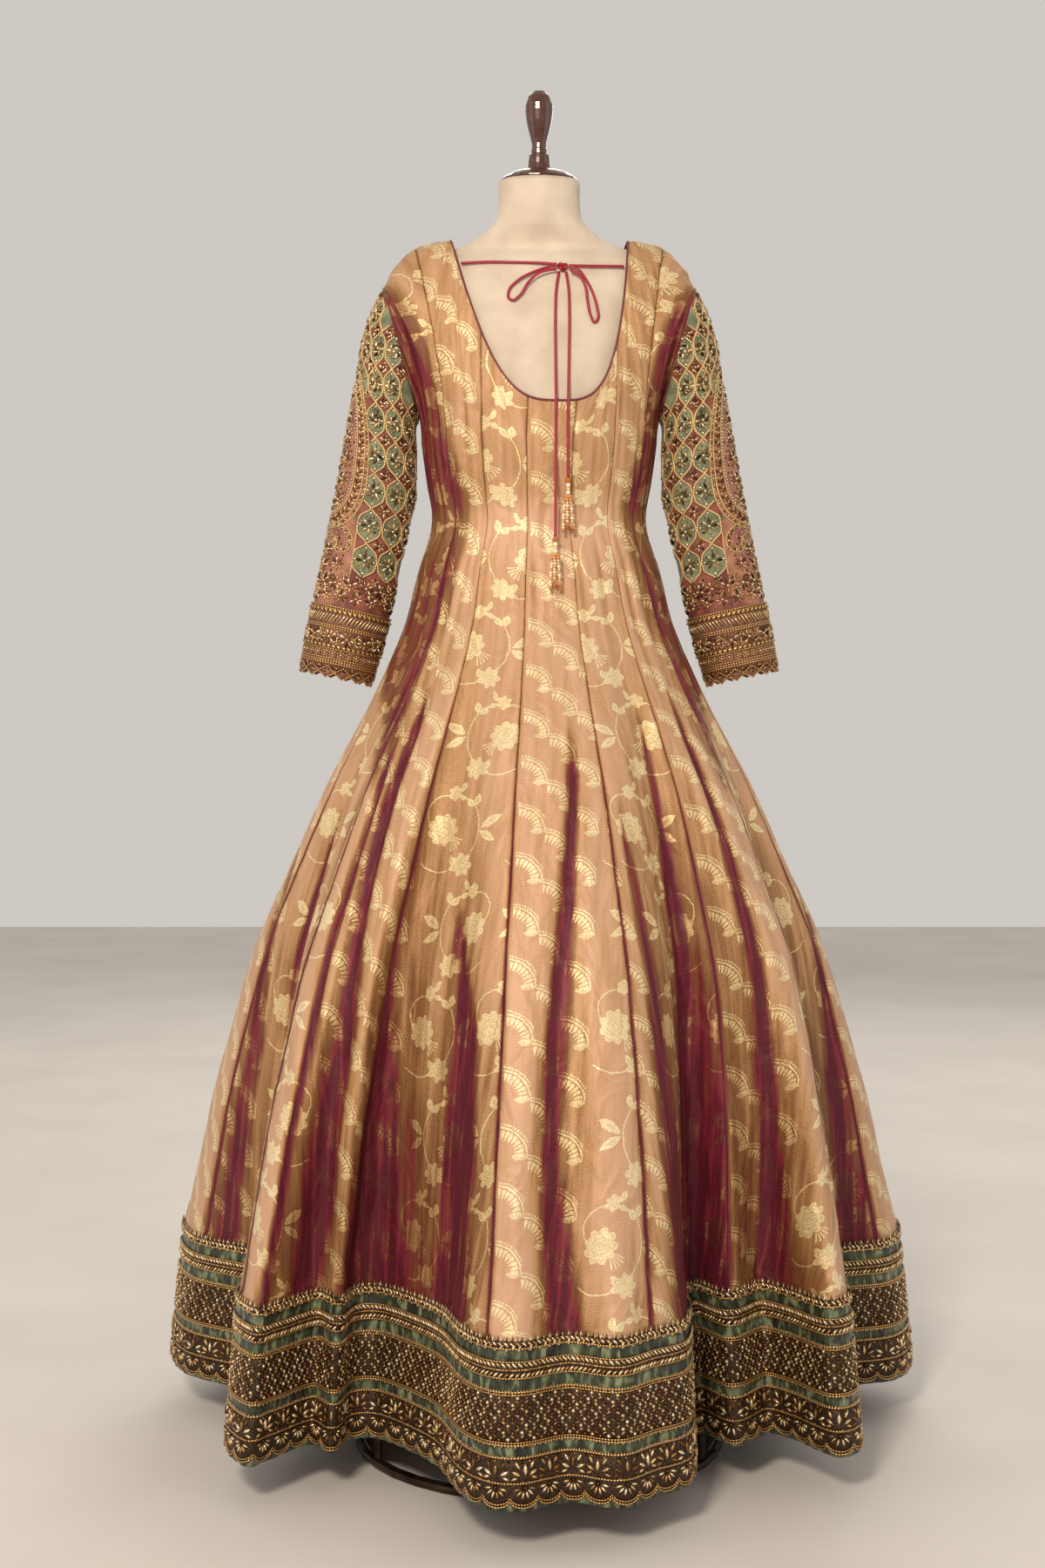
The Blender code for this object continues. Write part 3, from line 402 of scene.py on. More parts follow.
    # the main stem bows through each half, the bud's stem curls round the peony,
    # a third runs out under the lower flower, and stamens fan below the peony
    bend = node("MULTIPLY_ADD", node("MULTIPLY", vine_y, vine_y), 0.012, -19)
    stem = node("MULTIPLY", node("COMPARE", vine_x, bend, 0.85), node("COMPARE", vine_y, 0, 34))
    bar = node("Mapping", spot, (6, 39, 0), (0, 0, math.radians(22)), (13, 1, 1),
               vector_type="TEXTURE")
    bar = node("LESS_THAN", node("VectorMath.LENGTH", bar), 1)
    curl = node("COMPARE", node("VectorMath.DISTANCE", spot, (33, 20, 0)), 22.5, 0.8)
    curl = node("MULTIPLY", curl, node("GREATER_THAN", vine_x, 30))
    arch = node("COMPARE", node("VectorMath.DISTANCE", spot, (33, -16, 0)), 36, 0.8)
    arch = node("MULTIPLY", arch, node("LESS_THAN", vine_y, -42))
    reach, sweep = polar(node, spot, 24, -7)
    rays = node("GREATER_THAN", node("SINE", node("MULTIPLY", sweep, 24)), 0.2)
    rays = node("MULTIPLY", rays, node("COMPARE", reach, 13, 7))
    rays = node("MULTIPLY", rays, node("COMPARE", sweep, -2.3, 0.7))
    thin = node("MAXIMUM", node("MAXIMUM", stem, bar), curl)
    thin = node("MAXIMUM", thin, node("MAXIMUM", rays, arch))
    vine = node("MAXIMUM", node("MAXIMUM", leaves, blooms), thin)
    vine = node("MULTIPLY", vine, node("GREATER_THAN", across, GARLAND_STRIP))
    figure = node("MAXIMUM", garland, vine)

    # broken, filigree filling of the floats, and the ribs of the tissue ground
    grain = node("TexNoise", place, Scale=0.65, Detail=1)
    broken = node("ValToRGB", grain, stops=((0.39, 0.30), (0.54, 1)))
    figure = node("MULTIPLY", figure, broken)
    ribs = node("TexWave", place, Scale=0.2, Distortion=0.6, Detail=1, Detail_Scale=2,
                bands_direction="Y")
    # the streaks break the edges of the painted maroon shade and fade out on the painted gold sheen
    streak = node("Mapping", place, Scale=(1, 0.07, 1))
    cloud = node("TexNoise", streak, Scale=0.11, Detail=3)
    painted_sheen_shade = node("Attribute", attribute_name="painted_sheen_shade").outputs["Fac"]
    drift = node("MULTIPLY", node("SUBTRACT", cloud, 0.5), node("MULTIPLY_ADD", painted_sheen_shade, -0.8, 1.25))
    painted_sheen_shade = node("ADD", painted_sheen_shade, drift, use_clamp=True)
    speck = node("MULTIPLY_ADD", grain, 0.50, -0.25)
    # the ground runs from the maroon warp to the gold weft by the painted sheen and shade; its browns and
    # olives between are painted shade
    ground = node("ValToRGB", node("ADD", painted_sheen_shade, speck, use_clamp=True), stops=(
        (0, "#4E1420"), (0.11, "#781E34"), (0.23, "#743028"), (0.34, "#70482A"),
        (0.54, "#8A6038"), (0.76, "#B2885E"), (1, "#C69D7E")))
    # the floats dim to brown in the painted shade
    floats = node("ValToRGB", painted_sheen_shade, stops=(
        (0, "#5C2A26"), (0.14, "#7E4A32"), (0.32, "#B48E5A"), (0.58, "#DAC48E"), (1, "#EADEB2")))
    ribbed = node("Mix", 0.16, ground, ribs, data_type="RGBA", blend_type="OVERLAY")
    # small crumples from wear, slanting, about 40 mm apart
    worn = node("Mapping", place, Scale=(1, 0.55, 1), Rotation=(0, 0, 0.5))
    worn = node("TexNoise", worn, Scale=0.026, Detail=2, Distortion=0.8)
    relief = node("MULTIPLY_ADD", worn, 90, node("MULTIPLY_ADD", ribs, 0.25, figure))
    feed(shader, {"Base Color": node("Mix", figure, ribbed, floats, data_type="RGBA"),
                  "Metallic": node("MULTIPLY_ADD", figure, 0.15, 0.14),
                  "Roughness": node("MULTIPLY_ADD", figure, -0.10, 0.56),
                  "Normal": node("Bump", Strength=0.25, Distance=0.0004, Height=relief)})
    return material


def plain_finish(name, hex_low, hex_high, scale, stretch=(1, 1, 1), bump=0.0, **settings):
    """Even finish whose colour drifts between two shades over a noise of the
    given scale in Object coordinates, with a bump of that depth in metres."""
    material, node, shader = finish(name, **settings)
    place = node("Mapping", node("TexCoord").outputs["Object"], Scale=stretch)
    noise = node("TexNoise", place, Scale=scale, Detail=3)
    feed(shader, {"Base Color": node("ValToRGB", noise, stops=((0.3, hex_low), (0.7, hex_high)))})
    if bump:
        feed(shader, {"Normal": node("Bump", Strength=1, Distance=bump, Height=noise)})
    return material


def bead_finish(name, *shades, **settings):
    """Beads or threads whose colour is picked from shades by the piece's own
    "shade" value."""
    material, node, shader = finish(name, **settings)
    pick = node("Attribute", attribute_name="shade").outputs["Fac"]
    stops = [(k / max(1, len(shades) - 1), shade) for k, shade in enumerate(shades)]
    feed(shader, {"Base Color": node("ValToRGB", pick, stops=stops)})
    return material


def crinkled_silk(name, *shades):
    """Thin silk drawn in by the trims: slanting crinkles, their bottoms painted dark as shade."""
    material, node, shader = finish(name, Roughness=0.42, Sheen_Weight=0.1)
    place = node("Mapping", node("UVMap", uv_map="cloth"), Scale=(1, 0.35, 1), Rotation=(0, 0, 0.5))
    noise = node("TexNoise", place, Scale=95, Detail=3, Distortion=0.7)
    # painted shade: the colour follows the bump's noise, darkest in the crinkles' hollows
    feed(shader, {"Base Color": node("ValToRGB", noise, stops=zip((0.35, 0.50, 0.66), shades)),
                  "Normal": node("Bump", Strength=1, Distance=0.0035, Height=noise)})
    return material


def twisted_gold(name, dark, light, pitch):
    """Cord of gilt thread over cotton, its plies showing as slanting stripes:
    sin(2 pi (along / pitch + 100 round)), with a turn of the cord 0.01 round."""
    material, node, shader = finish(name, Roughness=0.38, Metallic=0.7)
    around, length, _ = node("SeparateXYZ", node("UVMap", uv_map="cloth")).outputs
    lay = node("MULTIPLY_ADD", around, 100 * pitch, length)
    lay = node("SINE", node("MULTIPLY", lay, TURN / pitch))
    lay = node("MULTIPLY_ADD", lay, 0.5, 0.5)
    feed(shader, {"Base Color": node("ValToRGB", lay, stops=((0.1, dark), (0.7, light))),
                  "Normal": node("Bump", Strength=0.7, Distance=0.0006, Height=lay)})
    return material


BROCADE = shot_brocade()
# glass and foiled beads: clear amber, gold and rust, wet-looking
AMBER = bead_finish("amber_glass_beads", "#B4682C", "#E6B070", "#F6E2C4", Roughness=0.12,
                    Metallic=0, IOR=1.5)
# spun silk cord, round and closely twisted, with a soft gloss
SILK_CORD = plain_finish("twisted_silk_cord", "#7A0A22", "#B01A38", 700, (1, 1, 3), 0.0002,
                         Roughness=0.42)
# thin green silk, matt-bright and crisply crinkled where the trims draw it in, with painted shade in the
# crinkles
GREEN_SILK = crinkled_silk("crinkled_green_silk", "#101208", "#343C24", "#808864")
# tarnished zari thread worked so close that it hides its net
ZARI_GROUND = plain_finish("antique_zari_net", "#150B05", "#503A26", 420, bump=0.0012,
                           Roughness=0.45, Metallic=0.6)
# dabka and sequins: coiled and stamped metal, each piece one colour from brown to
# near white: the darkest painted shade in the hollows over the tarnish, the palest
# painted glints on the edges
GOLD_THREAD = bead_finish("antique_gold_dabka", "#28160A", "#84592F", "#ECC88E", "#FFF2D0",
                          Roughness=0.28, Metallic=0.75)
GOLD_CORD = twisted_gold("twisted_gilt_cord", "#6A4420", "#E6BA78", 0.0034)
# finer gilt purl couched over the sleeve's seams between the colours
PURL_CORD = twisted_gold("gilt_purl_cord", "#B08448", "#F6DAA0", 0.0026)
# a stouter braid whose dark plies alternate with gilt ones
DARK_CORD = twisted_gold("two_tone_zari_braid", "#2E1A0C", "#D8AE70", 0.0062)


# ------------------------------------------------------------- the dori
# The tie is a limp round silk cord: strings from the neck's piping to the knot,
# two bow loops and two hanging tails, at their full length.
DORI_RADIUS = 0.00175
DORI_SPACING = 0.0035
DORI_ROUTES = {
    "dori_string_left": (
        (-0.0974, -0.048, 1.469), (-0.07, -0.0502, 1.47), (-0.03, -0.0535, 1.469),
        (0.004, -0.056, 1.4675), (0.0212, -0.0575, 1.466)),
    "dori_string_right": (
        (0.0366, -0.0575, 1.4643), (0.06, -0.056, 1.464), (0.085, -0.0518, 1.4645),
        (0.1047, -0.048, 1.465)),
    "dori_loop_left": (
        (0.0211, -0.0611, 1.464), (0.009, -0.0623, 1.461), (-0.005, -0.064, 1.456),
        (-0.027, -0.0668, 1.444), (-0.0375, -0.069, 1.432), (-0.038, -0.0718, 1.4215),
        (-0.033, -0.0735, 1.4185), (-0.0245, -0.0738, 1.4245), (-0.013, -0.0708, 1.442),
        (-0.001, -0.069, 1.453), (0.011, -0.0665, 1.457), (0.0205, -0.064, 1.4585)),
    "dori_loop_right": (
        (0.0365, -0.0611, 1.4622), (0.047, -0.0633, 1.459), (0.056, -0.0655, 1.448),
        (0.066, -0.0688, 1.428), (0.0715, -0.0715, 1.408), (0.0722, -0.0735, 1.396),
        (0.068, -0.0753, 1.391), (0.0635, -0.075, 1.399), (0.059, -0.0732, 1.419),
        (0.056, -0.0705, 1.438), (0.05, -0.0675, 1.45), (0.038, -0.0645, 1.4575)),
    "dori_tail_left": (
        (0.024, -0.061, 1.4555), (0.0228, -0.0648, 1.448), (0.0215, -0.0678, 1.44),
        (0.0195, -0.0797, 1.4), (0.0195, -0.0892, 1.36), (0.0198, -0.0972, 1.32), (0.02, -0.1034, 1.293),
        (0.0198, -0.103, 1.265), (0.0196, -0.1034, 1.22), (0.0194, -0.1058, 1.165),
        (0.0192, -0.1095, 1.126)),
    "dori_tail_right": (
        (0.033, -0.061, 1.4555), (0.034, -0.0648, 1.448), (0.0352, -0.0675, 1.44), (0.0368, -0.079, 1.4),
        (0.0362, -0.088, 1.36), (0.0355, -0.0955, 1.32), (0.035, -0.1016, 1.293),
        (0.0348, -0.1011, 1.265), (0.035, -0.1005, 1.199)),
}
KNOT_CENTRE = np.array((0.0287, -0.0592, 1.4625))
KNOT_HALF = np.array((0.0075, 0.0036, 0.0065))
TASSEL_LEAN = {"left": -11.8, "right": 0}      # degrees; the left one rests on the skirt
STRAND = 0.041               # longest strand of a tassel
STRAND_PITCH = 0.0038        # from bead to bead down a strand


def bead(rings=4, sides=6):
    """Small round bead: a ball of radius one with its poles up and down."""
    rise = np.linspace(-np.pi / 2, np.pi / 2, rings + 1)[1:-1, None]
    turn = np.arange(sides) / sides * TURN
    ball = np.stack(np.broadcast_arrays(np.cos(rise) * np.cos(turn), np.cos(rise) * np.sin(turn),
                                        np.sin(rise)), axis=-1)
    points = np.concatenate([ball.reshape(-1, 3), [(0, 0, -1), (0, 0, 1)]])
    ends = fans(sides, 0, len(points) - 2, (rings - 2) * sides, len(points) - 1)
    return points, np.concatenate([grid_faces(rings - 1, sides, 0, True), *ends])


def knot_path(count=72):
    """Overhand knot: a trefoil, x = sin t + 2 sin 2t, z = cos t - 2 cos 2t with the
    strand passing over and under by sin 3t, fitted into the knot's own box."""
    t = np.arange(count) / count * TURN
    loop = np.stack([(np.sin(t) + 2 * np.sin(2 * t)) / 3, -np.sin(3 * t),
                     (np.cos(t) - 2 * np.cos(2 * t)) / 3], axis=1)
    return KNOT_CENTRE + loop * (KNOT_HALF - DORI_RADIUS * np.array((1, 0.9, 1)))


def tassel(side):
    """Bead tassel: a crown bead, a neck of clear beads, an amber collar and six
    hanging strands.

    Each strand is a chain of beads that leaves the collar, swells out and comes
    back in a little: radius = r0 + (r1 - r0) sin(share * 0.75 pi).
    """
    ball, faces = bead()
    # each bead: right, forward, drop, radius, shade
    beads = [(0, 0, 0.0035, 0.0040, 0), (0, 0, 0.0092, 0.0030, 1), (0, 0, 0.0140, 0.0027, 0.6),
             (0, 0, 0.0186, 0.0030, 1)]
    ring = np.arange(6) / 6 * TURN
    for drop, reach in ((0.0232, 0.0032), (0.0272, 0.0042)):
        beads += [(reach * math.cos(a), reach * math.sin(a), drop, 0.0024, 0.25)
                  for a in ring + 80 * drop]
    for index, a in enumerate(ring + 0.3):
        last = int((STRAND - 0.008 * (index * 5 % 7) / 6) / STRAND_PITCH) - 1
        for k in range(last + 1):
            reach = 0.0042 + 0.0022 * math.sin(k * STRAND_PITCH / STRAND * 0.75 * math.pi)
            size = 0.0026 if k == last else 0.0022 if k % 3 else 0.0016
            shade = 0.1 if k == last else (0.4, 1, 0.85)[(k + index) % 3]
            beads.append((reach * math.cos(a), reach * math.sin(a), 0.0308 + k * STRAND_PITCH,
                          size, shade))
    right, forward, drop, sizes, shades = np.array(beads, float).T
    lean = math.radians(TASSEL_LEAN[side])
    hung = np.stack([right, forward * math.cos(lean) + drop * math.sin(lean),
                     forward * math.sin(lean) - drop * math.cos(lean) - 0.0006], axis=1)
    points, faces = stamped(ball, faces, hung + DORI_ROUTES[f"dori_tail_{side}"][-1],
                            *np.broadcast_to(np.eye(3)[:, None], (3, len(hung), 3)), size=sizes)
    strands = piece(f"bead_tassel_{side}", points, faces, AMBER,
                    values={"shade": np.repeat(shades, len(ball))})
    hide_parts(f"tassel_{side}")
    return strands


def lay_dori():
    """The tie as six cords, with their knot and tassels."""
    points, faces, uv = cords(knot_path()[None], np.broadcast_to((0, -1, 0.01), (1, 72, 3)),
                              DORI_RADIUS, sides=8, closed=True)
    knot = piece("dori_bow_knot", points, faces, SILK_CORD, uv)
    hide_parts("dori_knot")
    tassels = {side: tassel(side) for side in TASSEL_LEAN}
    for name, route in DORI_ROUTES.items():
        path = along(route, DORI_SPACING)
        radius = DORI_RADIUS * (1 + 0.03 * np.sin(np.arange(len(path)) * 1.7))
        points, faces, uv = cords(path[None], np.broadcast_to((0.01, -1, 0.02), path[None].shape),
                                  radius[None], sides=10)
        cord = piece(name.replace("dori", "silk_dori"), points, faces, SILK_CORD, uv)
        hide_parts(name)


# ------------------------------------------------------ the gown's surface
# The gown is a round of sixteen long kalis; columns are degrees round it from
# the back's middle (right positive), levels are metres under the yoke line, or
# shares of the way from there to the neck, shoulder or armhole.
CLOTH = 0.0015
HEM_Z = 0.055
BORDER = 0.184
BORDER_TOP = HEM_Z + BORDER
YOKE_Z = 1.25
TWIST = 5                # degrees the seams turn from the columns under them
HEM_RADIUS = 0.456
HEM_FLARE = 0.04
KALIS = 16
KALI_DEG = 22.5

# height, half width, depth to the back, depth to the front
SECTIONS = np.array((
    (1.5065, 0.112, 0.02, 0.02), (1.504, 0.13, 0.029, 0.029), (1.5, 0.148, 0.037, 0.037),
    (1.492, 0.163, 0.045, 0.045), (1.48, 0.176, 0.054, 0.054), (1.465, 0.188, 0.062, 0.062),
    (1.447, 0.197, 0.069, 0.068), (1.436, 0.211, 0.073, 0.072), (1.407, 0.237, 0.081, 0.081),
    (1.367, 0.228, 0.09, 0.095), (1.327, 0.191, 0.097, 0.107), (1.2975, 0.162, 0.101, 0.115),
    (1.287, 0.1545, 0.101, 0.116), (1.27, 0.1512, 0.101, 0.117), (1.25, 0.149, 0.101, 0.117),
    (1.2, 0.142, 0.094, 0.108), (1.138, 0.134, 0.086, 0.092), (1.095, 0.151, 0.1, 0.105),
    (1.026, 0.169, 0.128, 0.128), (0.93, 0.211, 0.18, 0.178), (0.82, 0.269, 0.246, 0.243),
    (0.72, 0.314, 0.3, 0.298), (0.62, 0.358, 0.348, 0.345), (0.51, 0.391, 0.387, 0.384),
    (0.41, 0.418, 0.416, 0.414), (0.32, 0.437, 0.437, 0.435),
    (BORDER_TOP, HEM_RADIUS, HEM_RADIUS, HEM_RADIUS),
))[::-1]

# Folds at the hem: column, bearing from the back's middle, reach as a share of
# a full fold, and the height at which the fold begins.
FOLDS = np.array((
    (-86, -99.8, 1.04, 1), (-79, -90, 0.95, 1), (-73.5, -82.3, 0.81, 1.05), (-68, -75.8, 0.72, 1.08),
    (-62, -64.1, 0.81, 1.05), (-57, -53.5, 0.96, 0.95), (-53, -45.4, 1, 0.9), (-48, -45, 0.94, 0.8),
    (-42, -45.6, 0.79, 0.75), (-38, -39.8, 0.8, 0.75), (-33.75, -42.9, 0.71, 0.95),
    (-29, -39.1, 0.65, 1.08), (-24, -27.6, 0.68, 1.05), (-19, -17.7, 0.77, 0.95),
    (-15.5, -12.1, 0.9, 0.85), (-11.25, -7.6, 0.98, 0.8), (-7, -3.6, 1, 0.8), (-1, 3.8, 0.94, 0.8),
    (5, 10.3, 0.99, 0.8), (11.25, 16.3, 0.94, 0.85), (15, 22.3, 0.9, 0.9), (18.5, 27.7, 0.79, 0.95),
    (23, 32.9, 0.66, 1.02), (28, 41, 0.62, 1.05), (33.75, 40.5, 0.74, 0.95), (40, 50.8, 0.74, 0.8),
    (45, 50.8, 0.82, 0.75), (51, 48.5, 0.97, 0.85), (56.25, 54.2, 0.97, 0.95), (62, 64.4, 0.82, 1.05),
    (68, 76, 0.73, 1.08), (74, 83.5, 0.83, 1.05), (80, 88, 0.97, 1), (86, 97, 1.04, 1),
    (93, 108, 1.03, 1), (104, 116, 0.76, 1.04), (116.25, 131, 1, 1), (127.5, 139.5, 0.77, 1.06),
    (138.75, 153, 1.01, 1), (150, 161.5, 0.79, 1), (161.25, 175, 1, 0.95), (172.5, 184, 0.78, 0.95),
    (183.75, 197, 1.01, 0.95), (195, 206, 0.77, 1), (206.25, 219, 1, 1), (217.5, 228, 0.78, 1.06),
    (228.75, 240.5, 1.01, 1), (239, 246, 0.76, 1.04), (250, 249.5, 0.9, 1), (258, 252, 0.97, 1),
    (267, 256.5, 1.03, 1),
))

NECK_HALF = 0.112
NECK_TOP_Z = 1.5065
# how low each scoop is, how far it lies to the right, and the power of its curve
BACK_SCOOP = (1.291, 0.023, 3.3)
FRONT_SCOOP = (1.372, 0, 2.6)
NECK_COLUMNS = (0, 11.25, 33.75, 37.5, 41.25, 45)
NECK_SHARES = (0, 0.112, 0.495, 0.72, 0.90, 1)
SHOULDER_DEG = 45
TIP_DEG = 67.5
SIDE_DEG = 71.25
SIDE_EASE = 7.5
TIP = np.array((0.197, 1.447))
UNDERARM = np.array((0.152, 1.287))
ARMHOLE_HALF_DEPTH = 0.058


def signed(column, middle=0.0):
    """Columns as degrees from a middle one, -180 to 180."""
    return (column - middle + 180) % 360 - 180


def periodic(column):
    """The folds, repeated round the gown, at any column: right and forward reach,
    and the height at which the fold begins."""
    turns = np.vstack([FOLDS + (shift, shift, 0, 0) for shift in (-360, 0, 360)])
    at, bearing, reach, start = turns.T
    bearing = np.radians(bearing)
    plan = np.stack([reach * np.sin(bearing), -reach * np.cos(bearing), start], axis=1)
    return np.moveaxis(smooth(at, plan, (column + 90) % 360 - 90), -1, 0)


def section(z, table=SECTIONS):
    """Half width, depth to the back and depth to the front at a height."""
    return np.moveaxis(smooth(table[:, 0], table[:, 1:], z), -1, 0)


def body_point(angle, z):
    """Smooth body: an ellipse at each height, flatter at the back than the front."""
    half, back, front = section(z)
    depth = np.where(np.cos(angle) > 0, back, front)
    return np.stack([half * np.sin(angle), -depth * np.cos(angle), z], axis=-1)


def fold_growth(start, z):
    """How far a fold has grown at a height, 0 where it begins to 1 at the border."""
    return np.clip((start - z) / (start - BORDER_TOP), 0, 1) ** 1.15


def skirt_point(column, z):
    """Body ellipse leaning towards the folded hem curve, the lower the more."""
    upper = np.maximum(z, BORDER_TOP)
    body = body_point(np.radians(column + TWIST), upper)
    right, forward, start = periodic(column)
    half, back, front = section(upper)
    grow = fold_growth(start, upper)
    x = body[..., 0] + (right * half - body[..., 0]) * grow
    y = body[..., 1] + (forward * np.where(forward < 0, back, front) - body[..., 1]) * grow
    flare = 1 + HEM_FLARE * (upper - z) / BORDER
    return np.stack([x * flare, y * flare, z], axis=-1)


def on_body(x, z, front):
    """Angle of the body ellipse under a point seen square from the back or front."""
    angle = np.arcsin(np.clip(x / section(z)[0], -1, 1))
    return np.where(front, np.pi - angle, angle)


def scoop(share, low, shift, power):
    """Neckline point at a share (-1 left shoulder, +1 right shoulder) of its length:
    x = shift (1 - |q|^3) + half q, z = low + (top - low) |q|^power."""
    q = np.sin(np.linspace(-np.pi / 2, np.pi / 2, 241))
    x = shift * (1 - np.abs(q) ** 3) + NECK_HALF * q
    z = low + (NECK_TOP_Z - low) * np.abs(q) ** power
    length = run_along(np.stack([x, z], axis=1))
    at = (share + 1) / 2 * length[-1]
    return np.interp(at, length, x), np.interp(at, length, z)


def from_middle(column):
    """Column measured from the nearer of the back's and the front's middle."""
    turned = np.abs(signed(column))
    return np.minimum(turned, 180 - turned)


def top_point(column):
    """Upper end of a gown column: on the neckline, shoulder ridge or armhole."""
    turned = signed(column)
    side = np.where(turned < 0, -1, 1)
    front = np.abs(turned) > 90
    v = from_middle(column)
    share = side * np.interp(v, NECK_COLUMNS, NECK_SHARES)
    x, z = np.where(front, scoop(share, *FRONT_SCOOP), scoop(share, *BACK_SCOOP))
    along_ridge = np.clip((v - SHOULDER_DEG) / (TIP_DEG - SHOULDER_DEG), 0, 1)
    ridge_half = NECK_HALF + (TIP[0] - NECK_HALF) * along_ridge
    ridge = v > SHOULDER_DEG
    x = np.where(ridge, side * ridge_half, x)
    z = np.where(ridge, np.interp(ridge_half, SECTIONS[::-1, 1][:7], SECTIONS[::-1, 0][:7]), z)
    point = body_point(np.where(ridge, side * np.pi / 2, on_body(x, z, front)), z)
    turn = np.pi * np.clip((v - TIP_DEG) / (90 - TIP_DEG), 0, 1)[..., None]
    oval = (TIP + UNDERARM) / 2 + np.cos(turn) * (TIP - UNDERARM) / 2
    forward = np.where(front, 1, -1) * np.sin(turn[..., 0]) * ARMHOLE_HALF_DEPTH
    oval = np.stack([side * oval[..., 0], forward, oval[..., 1]], axis=-1)
    return np.where((v > TIP_DEG)[..., None], oval, point)


def gown_point(column, level):
    """Outer face of the gown.

    Under the yoke line it is the folded skirt; above it x goes from the yoke line
    to the column's top end by share ** swing, on the body's ellipse, and at the
    side the cloth is drawn straight to the underarm.
    """
    column, level = np.broadcast_arrays(np.asarray(column, float), np.asarray(level, float))
    lower = skirt_point(column, YOKE_Z + np.minimum(level, 0))
    share = np.clip(level, 0, 1)
    top = top_point(column)
    base_angle = np.radians(column + TWIST)
    z = YOKE_Z + (top[..., 2] - YOKE_Z) * share
    front = np.cos(base_angle) < 0
    base = body_point(base_angle, np.full(z.shape, YOKE_Z))
    v = from_middle(column)
    swing = 1 + np.clip((v - SHOULDER_DEG) / (TIP_DEG - SHOULDER_DEG), 0, 1)
    x = base[..., 0] + (top[..., 0] - base[..., 0]) * share ** swing
    yoke = body_point(on_body(x, z, front), z)
    miss = top - body_point(on_body(top[..., 0], top[..., 2], front), top[..., 2])
    yoke = yoke + miss * (share ** 2)[..., None]
    drawn = base[..., 1] + (top[..., 1] - base[..., 1]) * share
    yoke[..., 1] += (drawn - yoke[..., 1]) * np.clip((v - SIDE_DEG) / SIDE_EASE, 0, 1)
    return np.where((level > 0)[..., None], yoke, lower)
